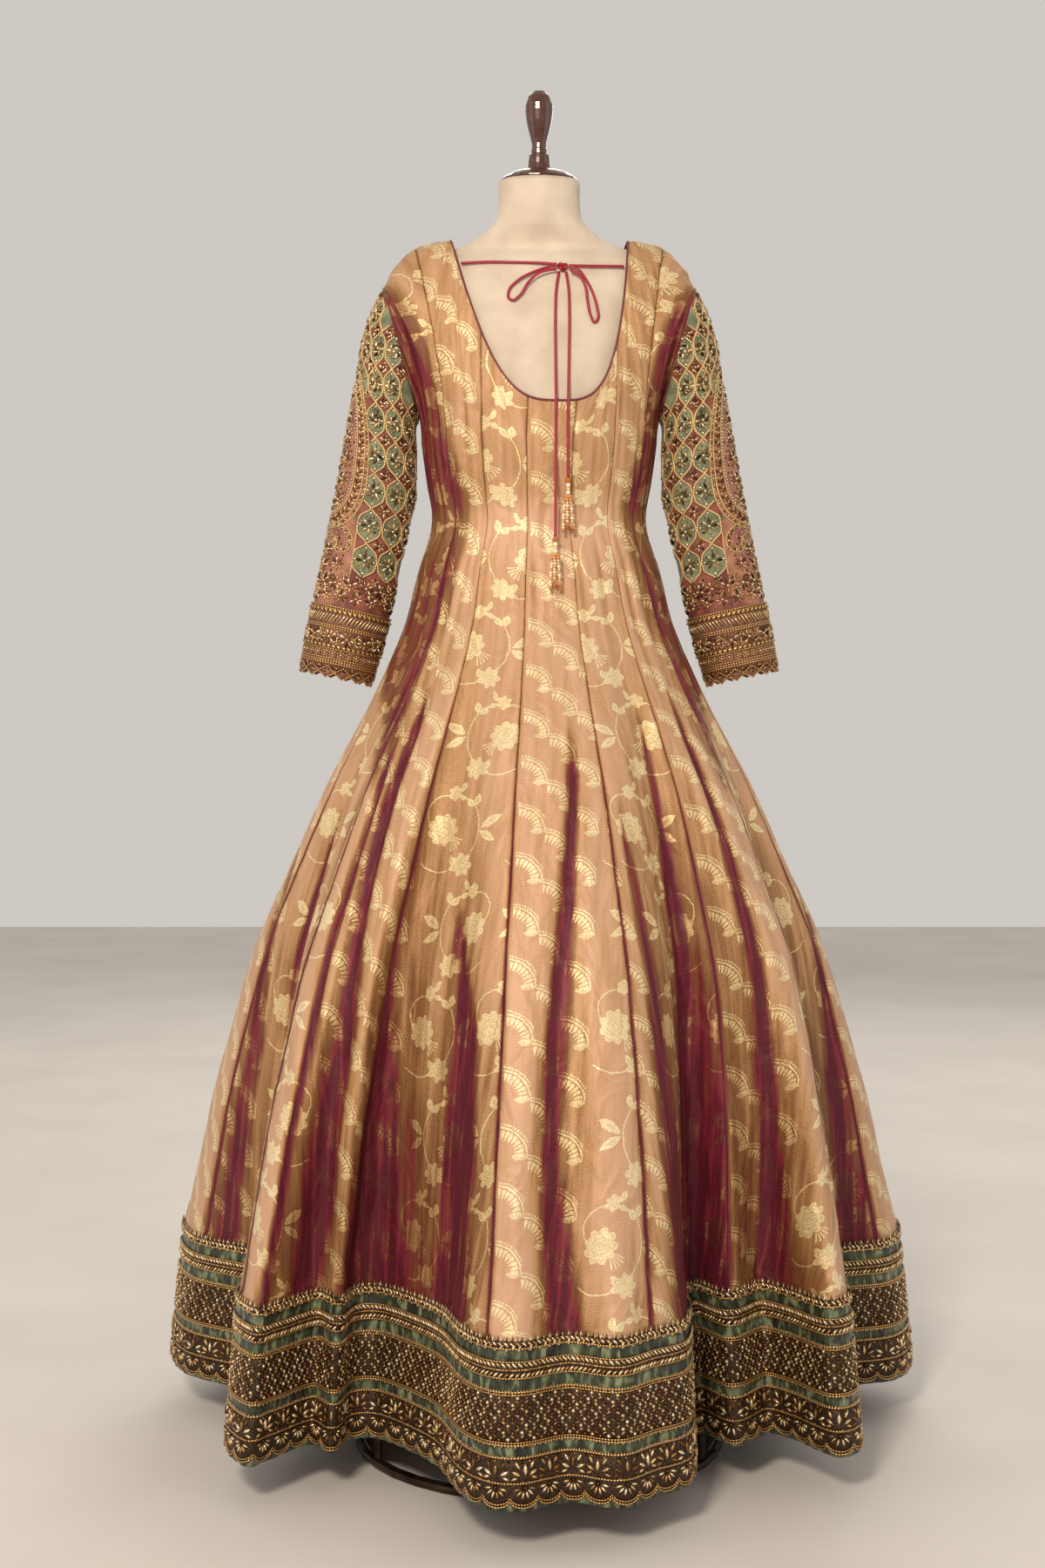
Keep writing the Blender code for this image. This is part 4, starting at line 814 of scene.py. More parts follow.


# Creases listed one by one: column, height of the upper and lower end, half width
# in degrees, height of the ridge (minus for a trough) in mm, and lean in
# degrees of column for each metre down.
CREASES = np.array((
    # nipped waist, back: short upright creases beside the seams
    (-30.5, 1.165, 0.985, 1.3, -2.2, -4), (-27.6, 1.15, 1.02, 1.1, -1.8, 2),
    (-36.8, 1.185, 0.96, 1.3, -2.2, -6), (-41.5, 1.2, 0.9, 1.6, -3, -5), (-48, 1.19, 0.86, 1.7, -3.2, -4),
    (-55, 1.2, 0.82, 1.8, -3.4, 0), (-15, 1.13, 1, 1.2, -1.3, 3), (-7, 1.11, 1.01, 1.4, -1, -3),
    (6, 1.12, 1, 1.4, -1.2, 3), (15, 1.14, 0.98, 1.3, -1.6, -3), (24.5, 1.165, 0.96, 1.4, -2, 3),
    (31, 1.18, 0.96, 1.4, -2.2, 4), (39, 1.19, 0.9, 1.6, -2.8, 4), (48, 1.19, 0.86, 1.8, -3.2, 3),
    (57, 1.2, 0.82, 1.9, -3.2, 0),
    # bodice: creases drawn from the armholes and over the shoulder blades
    (-66, 1.44, 1.35, 1.6, -2.6, -90), (-60, 1.4, 1.3, 1.4, -2.2, -60), (-63, 1.33, 1.18, 1.5, -2.6, 10),
    (-54, 1.3, 1.15, 1.3, -2, -8), (-42, 1.36, 1.23, 1, -1.4, 6), (-33.5, 1.29, 1.19, 0.9, -1.2, -4),
    (63, 1.44, 1.35, 1.6, -2.6, 90), (60, 1.33, 1.18, 1.5, -2.6, -10), (51, 1.3, 1.15, 1.3, -2, 8),
    (38, 1.35, 1.23, 1, -1.4, -5), (116, 1.42, 1.3, 1.5, -2.4, 60), (244, 1.42, 1.3, 1.5, -2.4, -60),
    (131, 1.32, 1.18, 1.3, -2, 8), (229, 1.32, 1.18, 1.3, -2, -8),
    # and the front
    (125, 1.19, 0.85, 1.8, -3, 3), (136, 1.18, 0.92, 1.5, -2.4, 2), (147, 1.16, 0.96, 1.4, -2, -3),
    (158, 1.14, 0.98, 1.3, -1.5, 3), (171, 1.12, 1, 1.4, -1.2, 0), (187, 1.12, 1, 1.4, -1.2, 2),
    (201, 1.14, 0.98, 1.3, -1.6, -2), (213, 1.16, 0.96, 1.4, -2, 3), (225, 1.18, 0.91, 1.6, -2.6, -3),
    (236, 1.19, 0.85, 1.8, -3, -2),
    # long soft folds that rise past the main ones
    (-63, 1.02, 0.3, 2, 5.5, 0), (-59.5, 1.02, 0.3, 1.6, -5, 0), (-50.5, 0.9, 0.3, 1.4, -3.5, 2),
    (-45, 0.98, 0.26, 1.6, -5, 0), (-36, 1, 0.45, 1.6, 3, 0), (-24.5, 0.78, 0.28, 1.6, 3.5, 1),
    (-12.8, 0.62, 0.26, 1.1, -3.5, 0), (1.5, 0.64, 0.26, 2, -3, 0), (9, 0.56, 0.26, 1.7, 2.2, 0),
    (21, 0.76, 0.28, 1.8, 3, 0), (36.5, 0.9, 0.26, 2, -3.5, 0), (48, 0.95, 0.26, 1.8, 3.2, 0),
    (65, 1, 0.26, 2, 3.5, 0), (71.5, 0.9, 0.26, 1.8, -3, 0), (98, 0.9, 0.26, 2.2, -4, 0),
    (110, 0.98, 0.26, 2.2, 4, 0), (133, 0.86, 0.26, 2, -3.5, 0), (155, 0.9, 0.26, 2.2, 3.5, 0),
    (178, 0.76, 0.26, 2.2, -3, 0), (190, 0.86, 0.26, 2, 3.2, 0), (212, 0.9, 0.26, 2.2, -3.5, 0),
    (223, 0.9, 0.26, 2, 3.5, 0), (245, 0.98, 0.26, 2, -4, 0), (262, 0.9, 0.26, 2, 3.5, 0),
    # short slanting puckers where the skirt runs into its border
    (-72, 0.52, 0.27, 1.2, 3, 14), (-60, 0.43, 0.25, 1, -3, -12), (-38, 0.56, 0.29, 1.3, 3.4, 10),
    (-26.5, 0.48, 0.26, 1.1, -3.2, 12), (-21, 0.38, 0.245, 0.9, 2.6, -14), (-15, 0.45, 0.25, 1, -2.6, 10),
    (-8.5, 0.4, 0.245, 0.9, 2.4, 16), (3.5, 0.44, 0.25, 1, 2.4, -12), (8, 0.36, 0.245, 0.8, -2.2, 12),
    (20, 0.46, 0.25, 1.1, -3, -10), (31, 0.5, 0.26, 1.2, 3.2, -12), (46, 0.45, 0.25, 1.1, 3, 12),
    (56, 0.52, 0.27, 1.2, -3.2, -10), (69, 0.44, 0.25, 1.1, 3, -14), (92, 0.5, 0.26, 1.3, 3.2, 12),
    (124, 0.46, 0.25, 1.1, 3, -12), (146, 0.52, 0.26, 1.2, -3.2, 10), (169, 0.44, 0.25, 1.1, 3, 14),
    (194, 0.48, 0.26, 1.2, 3, -12), (208, 0.42, 0.25, 1, -3, 12), (231, 0.5, 0.26, 1.2, 3.2, 10),
    (250, 0.45, 0.25, 1.1, -3, -14),
))
# Maroon bands of painted shade, where the cloth turns away and its warp shows: height,
# column, half width in degrees, for each band from its top down; then its trough in
# mm and how much painted shade it takes off the gold.
BANDS = (
    (((0.9, 4, 1), (0.828, 3.2, 1.6), (0.682, -0.2, 1.7), (0.542, -2.4, 1.7), (0.45, -3, 1.7),
      (0.358, -2.7, 1.7), (0.24, -1.2, 2.3)), 4, 0.85),
    (((0.7, -22.3, 0.6), (0.63, -20.4, 0.9), (0.582, -19, 1.5), (0.536, -18, 2.1), (0.41, -17.8, 2.3),
      (0.24, -18.6, 2.4)), 4.5, 0.85),
    (((0.6, -33.2, 0.5), (0.52, -32.2, 1.1), (0.43, -31.2, 2), (0.37, -30.6, 2.4),
      (0.24, -29.5, 2.5)), 2, 0.62),
    (((0.48, -34.8, 0.4), (0.41, -34.7, 0.9), (0.24, -34.6, 1.3)), 3, 0.5),
    (((0.95, -46.5, 1), (0.878, -46.3, 1.5), (0.796, -46.6, 1.9), (0.726, -46, 1.9), (0.626, -43.2, 1.7),
      (0.54, -42, 1.6), (0.37, -43, 1.6), (0.24, -44, 1.8)), 6, 0.9),
    (((0.9, -52, 0.7), (0.806, -51, 0.9), (0.664, -50.8, 1.2), (0.54, -50.1, 1.5), (0.37, -50.6, 1.4),
      (0.24, -51.6, 1.8)), 3, 0.72),
    (((0.8, -71.5, 0.7), (0.608, -70.2, 1), (0.5, -69, 1.3), (0.24, -69, 1.6)), 3, 0.7),
    (((0.76, -87, 0.9), (0.7, -82.2, 1.1), (0.602, -78, 1.2), (0.49, -76.5, 1.2),
      (0.24, -76.5, 1.5)), 3, 0.6),
    (((0.82, 14.5, 0.6), (0.64, 15.5, 1.2), (0.45, 16, 1.9), (0.24, 17, 2.3)), 3, 0.75),
    (((0.92, 28.5, 0.9), (0.7, 27, 1.6), (0.45, 26.5, 2.2), (0.24, 27, 2.5)), 3, 0.85),
    (((0.95, 44, 1), (0.7, 43, 1.8), (0.45, 42, 2), (0.24, 42, 2.1)), 4, 0.85),
    (((0.9, 60, 0.8), (0.65, 61.5, 1.2), (0.45, 62.5, 1.5), (0.24, 63, 1.8)), 3, 0.7),
    (((0.76, 87, 0.9), (0.6, 79, 1.2), (0.45, 76.5, 1.3), (0.24, 76.5, 1.6)), 3, 0.6),
    (((0.86, 103, 0.8), (0.6, 104, 1.4), (0.24, 105, 2)), 3.5, 0.75),
    (((0.94, 121, 0.9), (0.6, 119, 1.7), (0.24, 118, 2.2)), 4.5, 0.85),
    (((0.78, 139, 0.7), (0.5, 140.5, 1.5), (0.24, 141, 2)), 3, 0.7),
    (((0.9, 158, 0.9), (0.6, 156, 1.6), (0.24, 155, 2.3)), 4, 0.8),
    (((0.8, 177, 0.7), (0.5, 178, 1.5), (0.24, 179, 2.1)), 3, 0.75),
    (((0.92, 199, 0.9), (0.6, 200.5, 1.7), (0.24, 202, 2.3)), 4.5, 0.85),
    (((0.82, 219, 0.7), (0.5, 218, 1.4), (0.24, 217, 2)), 3, 0.7),
    (((0.9, 239, 0.9), (0.6, 240.5, 1.6), (0.24, 241, 2.2)), 4, 0.8),
    (((0.84, 256, 0.7), (0.5, 257, 1.3), (0.24, 258, 1.8)), 3, 0.7),
)
# Painted shade on the drawn-in side of the waist, from the armhole to the hip:
# height, column of its middle and half width in degrees.
WAIST_SHADE = np.array((
    (1.45, 68, 4), (1.339, 66, 8), (1.278, 75, 20), (1.234, 76, 27), (1.17, 72, 31), (1.136, 71, 31),
    (1.082, 71, 27), (1.006, 72, 24), (0.94, 62, 13), (0.888, 55, 7), (0.82, 50, 2),
))[::-1]

WAIST_Z = 1.136
SEAM_GROOVE = 0.0011
GATHER = 0.0016          # ripple where the skirt is eased onto the hem border


def from_seam(column):
    """Degrees to the nearest seam."""
    beside = (column + KALI_DEG / 2) % KALI_DEG
    return np.minimum(beside, KALI_DEG - beside)


def band_share(column, z, points, power):
    """How far into a band a place lies: exp(-(offset / half width)^power), fading
    out over its top 60 mm."""
    heights, columns, widths = np.array(points)[::-1].T
    offset = signed(column, np.interp(z, heights, columns))
    fade = np.clip((heights[-1] - z) / 0.06, 0, 1)
    return np.exp(-np.abs(offset / np.interp(z, heights, widths)) ** power) * fade


def relief(column, z):
    """Height of the small creases on the gown's outer face, in metres.

    Each crease is a bell across, exp(-(offset / width)^2), that fades in and out
    along its length by the sine of the share; each seam sinks a groove, a bell
    0.28 degree wide at the border and 0.53 over the bodice, and puckers softly
    beside it; above the hem border short ripples gather the skirt.  The bands of
    painted maroon shade lie in troughs, and the border itself has no creases.
    """
    height = np.zeros(np.broadcast(column, z).shape)
    for at, top, low, width, rise, lean in CREASES:
        share = np.clip((top - z) / (top - low), 0, 1)
        offset = signed(column, at + lean * (top - z))
        height += rise * MM * bell(offset / width) * np.sin(np.pi * share) ** 0.7
    # the waist turns softly: the cloth bridges its bend
    height += 0.0036 * bell((z - WAIST_Z) / 0.028)
    for points, depth, _ in BANDS:
        height -= depth * MM * band_share(column, z, points, 2)
    beside = from_seam(column)
    groove = SEAM_GROOVE * bell(beside / (0.28 + 0.25 * np.clip((z - BORDER_TOP) / 0.9, 0, 1)))
    pucker = 0.00035 * bell(beside / 1.6) * np.sin(z * TURN / 0.043 + column)
    gather = GATHER * bell((z - BORDER_TOP - 0.006) / 0.024) * (z > BORDER_TOP - 0.004)
    ripple = np.sin(np.radians(column) * 97) + 0.7 * np.sin(np.radians(column) * 61 + 1.2)
    fine = 0.0006 * np.sin(column * 0.9 + z * 31) * np.sin(column * 0.31 - z * 17)
    above = np.clip((z - BORDER_TOP + 0.004) / 0.008, 0, 1)
    return (height - groove + pucker + gather * ripple + fine) * above


def cloth_frame(column, level, lift=0.0):
    """Point on the creased gown, lifted off it, with the outward normal."""
    column, level = np.broadcast_arrays(np.asarray(column, float), np.asarray(level, float))
    base = gown_point(column, level)
    normal = axes(gown_point, column, level, 0.25, 0.002)[2]
    return base + normal * (relief(column, base[..., 2]) + lift)[..., None], normal


def grain(index):
    """Grain line of a kali: its column, and its place across the weave's repeat in
    metres.  The garlands run beside every other seam."""
    middle = index * KALI_DEG
    if index % 2:
        return middle, (GARLAND_STRIP + VINE / 2) * MM
    return (middle - KALI_DEG / 2, 0) if index < 8 else (middle + KALI_DEG / 2, GARLAND_STRIP * MM)


REPEAT_Z = 0.884         # where the weave's repeat starts on every kali
# a kali's grid: its rows' levels, close at the border and the neck, and its
# columns in degrees from its left seam, close at the seams
LEVELS = np.concatenate([
    np.linspace(0.059, BORDER_TOP - 0.004, 5) - YOKE_Z,
    np.linspace(BORDER_TOP + 0.004, 0.330, 12) - YOKE_Z,
    np.linspace(0.345, YOKE_Z - 0.014, 66) - YOKE_Z,
    np.linspace(0, 0.955, 26), (0.985, 1)])
ACROSS = np.concatenate([(0, 0.14, 0.45, 1.1), np.linspace(2.1, 20.4, 17), (21.4, 22.05, 22.36, 22.5)])


def kali(index):
    """One long panel, as a thin shell with the weave's own coordinates.

    Flattened: up is each column's own length from a level line, and across is
    what is left of the row's length once its climb is taken off.
    """
    columns = (index - 0.5) * KALI_DEG + ACROSS
    grid_column, grid_level = np.meshgrid(columns, LEVELS)
    point, normal = cloth_frame(grid_column, grid_level)
    line, offset = grain(index)
    line = (line - columns[0]) % 360 + columns[0]
    tall = run_along(point)
    tall -= [np.interp(REPEAT_Z, point[:, k, 2], tall[:, k]) for k in range(len(columns))]
    width = np.linalg.norm(np.diff(point, axis=1), axis=2)
    flat_width = np.sqrt(np.maximum(width ** 2 - np.diff(tall, axis=1) ** 2, (0.4 * width) ** 2))
    wide = np.cumsum(np.pad(flat_width, ((0, 0), (1, 0))), axis=1)
    on_line = np.array([np.interp(line, columns, row) for row in wide])
    uv = np.stack([wide - on_line[:, None] + offset, tall], axis=-1)
    obj = shell(f"brocade_kali_{index:02d}", point, normal, CLOTH, BROCADE, uv,
                {"painted_sheen_shade": painted_sheen_shade(grid_column, point, normal)})
    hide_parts(f"kali_{index:02d}")


def painted_sheen_shade(column, point, normal):
    """Painted sheen and shade on the two-tone cloth, as how much of the gold weft
    shows: 0 maroon, painted shade in the troughs and flanks, 1 gold, a painted
    sheen on the ridges that face out.

    It is the cosine between the creased normal and the smooth body's, sharpened,
    plus the fold's reach over the mean reach once the fold has grown, plus a share
    of the crease's own height.  Painted shade takes some off the lower skirt, the
    bodice, the bands, the drawn-in sides of the waist and the seams.
    """
    z = point[..., 2]
    angle = np.radians(column + TWIST)
    half, back, front = section(np.clip(z, BORDER_TOP, YOKE_Z))
    depth = np.where(np.cos(angle) > 0, back, front)
    square = unit(np.stack([np.sin(angle) / half, -np.cos(angle) / depth, 0 * z], axis=-1))
    # painted sheen and shade: gold where the cloth faces squarely out and on folds that reach far out,
    # maroon where it turns away
    facing = np.clip(np.sum(square * unit(normal * (1, 1, 0.2)), axis=-1), 0, 1)
    right, forward, start = periodic(column)
    reach = (np.hypot(right, forward) - 0.86) / 0.14
    grow = fold_growth(start, np.maximum(z, BORDER_TOP))
    value = 0.48 + 0.42 * facing ** 1.5 + 0.32 * reach * grow
    # painted shade in the creases' troughs, painted sheen on their ridges
    value += np.clip(relief(column, z) / 0.004, -1, 1) * 0.26
    # painted shade: darker down the lower skirt and on the bodice
    value -= 0.16 * np.clip((0.85 - z) / 0.55, 0, 1) + 0.10 * np.clip((z - 1.08) / 0.12, 0, 1)
    # painted shade in the maroon bands
    for points, _, strength in BANDS:
        value -= strength * band_share(column, z, points, 3)
    # painted shade on the drawn-in sides of the waist
    heights, middles, halves = WAIST_SHADE.T
    across = np.abs(np.abs(signed(column)) - 90)
    edge = 90 - np.interp(z, heights, middles - halves)
    near = 90 - np.interp(z, heights, middles + halves)
    inside = np.clip((edge - across) / 9, 0, 1) * np.clip((across - near) / 5 + 1, 0, 1)
    value -= 0.60 * inside * ((z < heights[-1]) & (z > heights[0]))
    # painted shade along the seams, deeper low on the skirt
    beside = from_seam(column)
    value -= 0.35 * bell(beside / 0.30) + 0.6 * bell(beside / 0.40) * np.clip((1 - z) / 0.3, 0, 1)
    return np.clip(value, 0, 1)


# ------------------------------------------------- small shapes for the trims
# Each is flat underneath, about one unit across, and lies in (across, up, out).


def petal():
    """Leaf bead: a long diamond with a raised ridge."""
    points = np.array([(0, -1, 0), (0.40, 0, 0), (0, 1, 0), (-0.40, 0, 0),
                       (0, -0.45, 0.38), (0, 0.45, 0.38)], float)
    return points, np.array([(0, 1, 4, 4), (1, 2, 5, 4), (2, 3, 5, 5), (3, 0, 4, 5), (0, 3, 2, 1)])


def spike():
    """One stitch of fringe: a slim wedge standing on its base."""
    points = np.array([(-0.5, 0, 0), (0.5, 0, 0), (0.25, 1, 0.15), (0, 0.3, 0.45)], float)
    return points, np.array([(0, 1, 3, 3), (1, 2, 3, 3), (2, 0, 3, 3), (0, 2, 1, 1)])


def facet(sides=5):
    """Cut bead or sequin: a low pyramid."""
    turn = np.arange(sides) / sides * TURN
    points = np.stack([np.cos(turn), np.sin(turn), 0 * turn], axis=1)
    faces = [(k, (k + 1) % sides, sides, sides) for k in range(sides)]
    faces += [(0, k + 1, k, k) for k in range(1, sides - 1)]
    return np.concatenate([points, [(0.15, 0.1, 0.75)]]), np.array(faces)


LEAF, STITCH, CUT = petal(), spike(), facet()


def scattered(count, key, low=0.0, span=1.0):
    """Even but unrepeating numbers from low to low + span, for telling like pieces
    apart."""
    return low + span * ((np.arange(count) * GOLDEN + key * 0.37) % 1)


def stitched(name, sets, mirror=False):
    """Joined mesh of many small gold shapes.

    Each set is (shape, frames, angle, size, stretch, shade): the shape's points are
    stretched, turned in the tangent plane and set on every frame.
    """
    parts = []
    for (points, faces), (at, across, up, out), angle, size, stretch, shade in sets:
        c, s = np.cos(angle), np.sin(angle)
        if np.ndim(angle):
            c, s = c[:, None], s[:, None]
        shade = np.broadcast_to(np.asarray(shade, float), at.shape[:1])
        parts.append((*stamped(points * stretch, faces, at, across * c + up * s,
                               up * c - across * s, out, size), np.repeat(shade, len(points))))
    points, faces, shades = merged(parts)
    return piece(name, points, faces, GOLD_THREAD, values={"shade": shades},
                 smooth_shade=False, mirror=mirror)


# ------------------------------------------------------------ the hem border
BAND_WALL = 0.0012
BAND_LIFT = 0.0003
TRIM_LIFT = BAND_LIFT * 2 + BAND_WALL
TRIM_WALL = 0.0016
TRIM_FACE = TRIM_LIFT + TRIM_WALL
BAND_TOP = 0.180
HEM_RING = np.linspace(-KALI_DEG / 2, 360 - KALI_DEG / 2, 2881)
# length round the hem, half way up its border, up to each column of the fine ring
HEM_AT_MIDDLE = run_along(gown_point(HEM_RING, HEM_Z + BAND_TOP / 2 - YOKE_Z))
HEM_ROUND = HEM_AT_MIDDLE[-1]


def hem_frames(share, height, lift):
    """Frames on the border at shares of the way round and heights over the edge."""
    share, height = np.broadcast_arrays(np.asarray(share, float), np.asarray(height, float))
    column = np.interp(share % 1 * HEM_ROUND, HEM_AT_MIDDLE, HEM_RING)
    level = HEM_Z + height - YOKE_Z
    across, rise, out = axes(gown_point, column, level, 0.12, 0.003)
    return gown_point(column, level) + out * lift, across, rise, out


def hem_strip(name, low, high, rows, lift, wall, material, steps=720, ripple=None):
    """Band of cloth round the hem between two heights, the low one a number or one
    for each step."""
    share = np.arange(steps)[None] / steps
    blend = np.linspace(0, 1, rows)[:, None]
    height = np.broadcast_to(low, share.shape) * (1 - blend) + high * blend
    at, _, _, out = hem_frames(share, height, lift + wall)
    if ripple:
        at = at + out * ripple(share, height)[..., None]
    uv = np.stack(np.broadcast_arrays(share * HEM_ROUND, height), axis=-1)
    return shell(name, at, out, wall, material, uv, wrap=True)


def hem_cords(name, lines, steps, sides=4):
    """Cords laid round the hem, each a (height, radius) with the height a number or
    a function of the share."""
    share = np.arange(steps) / steps
    parts = []
    for height, radius in lines:
        level = height(share) if callable(height) else height
        at, _, _, out = hem_frames(share, level, TRIM_FACE + radius * 0.5)
        parts.append(cords(at[None], out[None], radius, sides, closed=True, twist=math.pi / 4))
    points, faces, uv = merged(parts)
    return piece(name, points, faces, GOLD_CORD, uv)


def crinkle(share, height):
    """Soft slanting gathers of the green silk between the trims."""
    place = share * HEM_ROUND * TURN
    return (np.sin(place / 0.017 + height * 210) + 0.8 * np.sin(place / 0.041 - height * 130)) * 0.0007


def evenly(pitch, shift=0.0):
    """Shares of the way round of pieces set at about this pitch in metres."""
    count = int(round(HEM_ROUND / pitch))
    return (np.arange(count) + shift) / count


SCALLOPS = 140


def scallop_edge(share, depth=0.0095, low=0.003):
    """Lower edge of the lace: half rounds, low + depth (1 - sqrt(1 - x^2))."""
    x = (share * SCALLOPS) % 1 * 2 - 1
    return low + depth * (1 - np.sqrt(np.clip(1 - (x * 0.985) ** 2, 0, 1)))


def row(shape, places, height, angle, size, stretch, key, low=0.0, span=1.0, sink=0.0):
    """One row of a small shape round the hem, on the trims or sunk into them, with
    shades from low to low + span."""
    return (shape, hem_frames(places, height, TRIM_FACE - sink), angle, size, stretch,
            scattered(len(places), key, low, span))


def trim(name, node, low, high, rows, label, sets, steps=720):
    """One gold trim: its ground, in place of the model's own, and what is sewn on."""
    base = hem_strip(name, low, high, rows, TRIM_LIFT, TRIM_WALL, ZARI_GROUND, steps)
    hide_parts(node)
    return [base, stitched(f"{name}_{label}", sets)]


def hem_border():
    """Green silk band and the four gold trims on it."""
    band = hem_strip("green_silk_band", 0, BAND_TOP, 24, BAND_LIFT, BAND_WALL, GREEN_SILK,
                     960, crinkle)
    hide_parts("hem_band")

    # narrow fringed trim at the very top: loops, and stitches standing up from it
    fringe, loops, low = evenly(0.0031), evenly(0.0062), evenly(0.0125)
    count = len(fringe)
    made = trim("fringed_trim", "trim_top", 0.171, BAND_TOP, 3, "stitches", [
        row(STITCH, fringe, 0.1785, scattered(count, 1, -0.25, 0.5),
            scattered(count, 2, 0.0065, 0.0030), (0.28, 1, 0.5), 3, sink=0.0005),
        row(LEAF, loops, 0.1768, 0.9, 0.0042, (1.1, 1, 1), 4, 0.4, 0.6),
        row(LEAF, loops + 0.0003, 0.1738, -0.7, 0.0040, (1.1, 1, 1), 5),
        row(CUT, low, 0.1710, 0, 0.0026, 1, 0, 0.9, 0, sink=0.0005)])

    # leaf braid: two rows of slanting leaves along a plaited middle
    leaves = evenly(0.0056)
    made += trim("leaf_braid", "trim_leaf", 0.140, 0.159, 3, "leaves", [
        row(LEAF, leaves, 0.1548, 0.85, 0.0050, (1, 1, 1.1), 6, 0.45, 0.55),
        row(LEAF, leaves + 0.0006, 0.1440, -0.85, 0.0050, (1, 1, 1.1), 7, 0.35, 0.6),
        row(CUT, leaves, 0.1494, 0, 0.0019, (1.3, 0.9, 1), 8, 0.2, 0.5)])

    # wide band: sequins and bugle beads in close diagonal rows
    sets = []
    for index in range(7):
        places = evenly(0.0092, 0.5 * (index % 2))
        count = len(places)
        height = 0.0760 + index * 0.0073
        sway = scattered(count, index, -0.0006, 0.0012)
        sets.append((CUT, hem_frames(places, height + sway, TRIM_FACE), scattered(count, index) * 3,
                     0.0029, 1, 0.15 + 0.85 * scattered(count, index + 11) ** 1.5))
        sets += [row(LEAF, places + side * 0.0011, height + 0.0035, side * 0.9, 0.0030,
                     (0.9, 1, 0.8), index + 5, 0, 0.9) for side in (1, -1)]
    sets += [row(STITCH, fringe, 0.1260, 0.35, 0.0036, (0.4, 1, 0.6), 9, 0.4, 0.6, 0.0004),
             row(STITCH, evenly(0.0070), 0.0700, math.pi, 0.0042, (0.8, 1, 0.6), 10, 0.4, 0.6, 0.0004)]
    made += trim("sequin_band", "band_sequin", 0.069, 0.127, 5, "beads", sets)

    # scalloped lace: leaf motifs over a bar, bead fans in corded half rounds
    middles = (np.arange(SCALLOPS) + 0.5) / SCALLOPS
    sets = [row(STITCH, fringe, 0.0565, -0.35, 0.0040, (0.4, 1, 0.6), 12, 0.4, 0.6, 0.0004)]
    fan = 0.0085 / HEM_ROUND
    sets += [row(LEAF, middles + math.sin(turn) * fan, 0.0255 - math.cos(turn) * 0.0085, turn, 0.0052,
                 (0.9, 1, 1.1), turn, 0.35, 0.6) for turn in np.radians((-78, -47, -16, 16, 47, 78))]
    sets.append(row(CUT, middles, 0.0245, 0, 0.0036, 1, 0, 0.1, 0))
    for turn, right, up, long in ((1.1, -0.30, 0.0405, 0.0066), (0.55, -0.26, 0.0490, 0.0056),
                                  (0, 0, 0.0440, 0.0078), (1.9, -0.36, 0.0350, 0.0048)):
        sets += [row(LEAF, middles + side * right / SCALLOPS, up, side * turn, long, (1, 1, 0.9),
                     up * 999, 0.2, 0.7) for side in ((1, -1) if turn else (1,))]
    dots = evenly(0.0071)
    sets += [row(CUT, dots, height, 0.3, 0.0021, 1, height * 999, 0, 0.5) for height in (0.0305, 0.0530)]
    steps = SCALLOPS * 8
    made += trim("scallop_lace", "lace_scallop", scallop_edge(np.arange(steps) / steps), 0.058, 5,
                 "beads", sets, steps)

    made.append(hem_cords("trim_cords", (
        (0.1722, 0.0011), (0.1497, 0.0008), (0.1582, 0.0009), (0.1408, 0.0009),
        (0.1262, 0.0012), (0.1232, 0.0009), (0.0728, 0.0009), (0.0702, 0.0012),
        (0.0568, 0.0012), (0.0300, 0.0010)), 1000))
    made.append(hem_cords("scallop_cords", (
        (lambda share: scallop_edge(share) + 0.0010, 0.0010),
        (lambda share: scallop_edge(share) + 0.0040, 0.0008)), SCALLOPS * 10))


# ------------------------------------------------------------- the sleeves
# All of a sleeve is worked out on the left one, in metres round it from its outer
# edge and up it from its cuff's end, and mirrored for the right.
# sleeve rings: outer x, outer z, inner x, inner z, half depth, forward shift
SLEEVE = np.array((
    (0.197, 1.447, 0.152, 1.287, 0.058, 0), (0.219, 1.392, 0.1555, 1.268, 0.056, 0),
    (0.23, 1.337, 0.156, 1.243, 0.053, 0.001), (0.238, 1.293, 0.156, 1.218, 0.05, 0.002),
    (0.247, 1.246, 0.156, 1.19, 0.047, 0.003), (0.261, 1.174, 0.164, 1.153, 0.043, 0.005),
    (0.27, 1.13, 0.173, 1.111, 0.04, 0.006), (0.28, 1.083, 0.183, 1.064, 0.037, 0.007),
    (0.287, 1.051, 0.19, 1.032, 0.036, 0.008), (0.302, 0.974, 0.212, 0.954, 0.035, 0.008),
))
RINGS = np.arange(len(SLEEVE), dtype=float)
SLEEVE_EASE = 0.0006
CUFF_UP = 0.0785         # length of the cuff band
CUFF_ROUND = 0.26
CUFF_WALL = 0.0018
CUFF_FACE = 0.0003 + CUFF_WALL
CUFF_POINTS = 14
RING_ROW = CUFF_UP - 0.0592      # height of the cuff's row of small corded rings
CELL = np.array((0.030, 0.0435))        # pitch of the diamonds, round and up
CELL_AT = np.array((0.015, 0.142))
CELL_BULGE = 0.92
LATTICE_FOOT = 0.121
# the plain ground under the paisley: its half width and its top
GROUND_HALF, GROUND_TOP = 0.0615, 0.19
PAISLEY_AT, PAISLEY_HALF = 0.262, 0.055
# the paisley's two halves: reach up or down, and power of its outline
PAISLEY_UPPER, PAISLEY_LOWER = (0.116, 2), (0.077, 3)
BEAD_LIFT = 0.0003

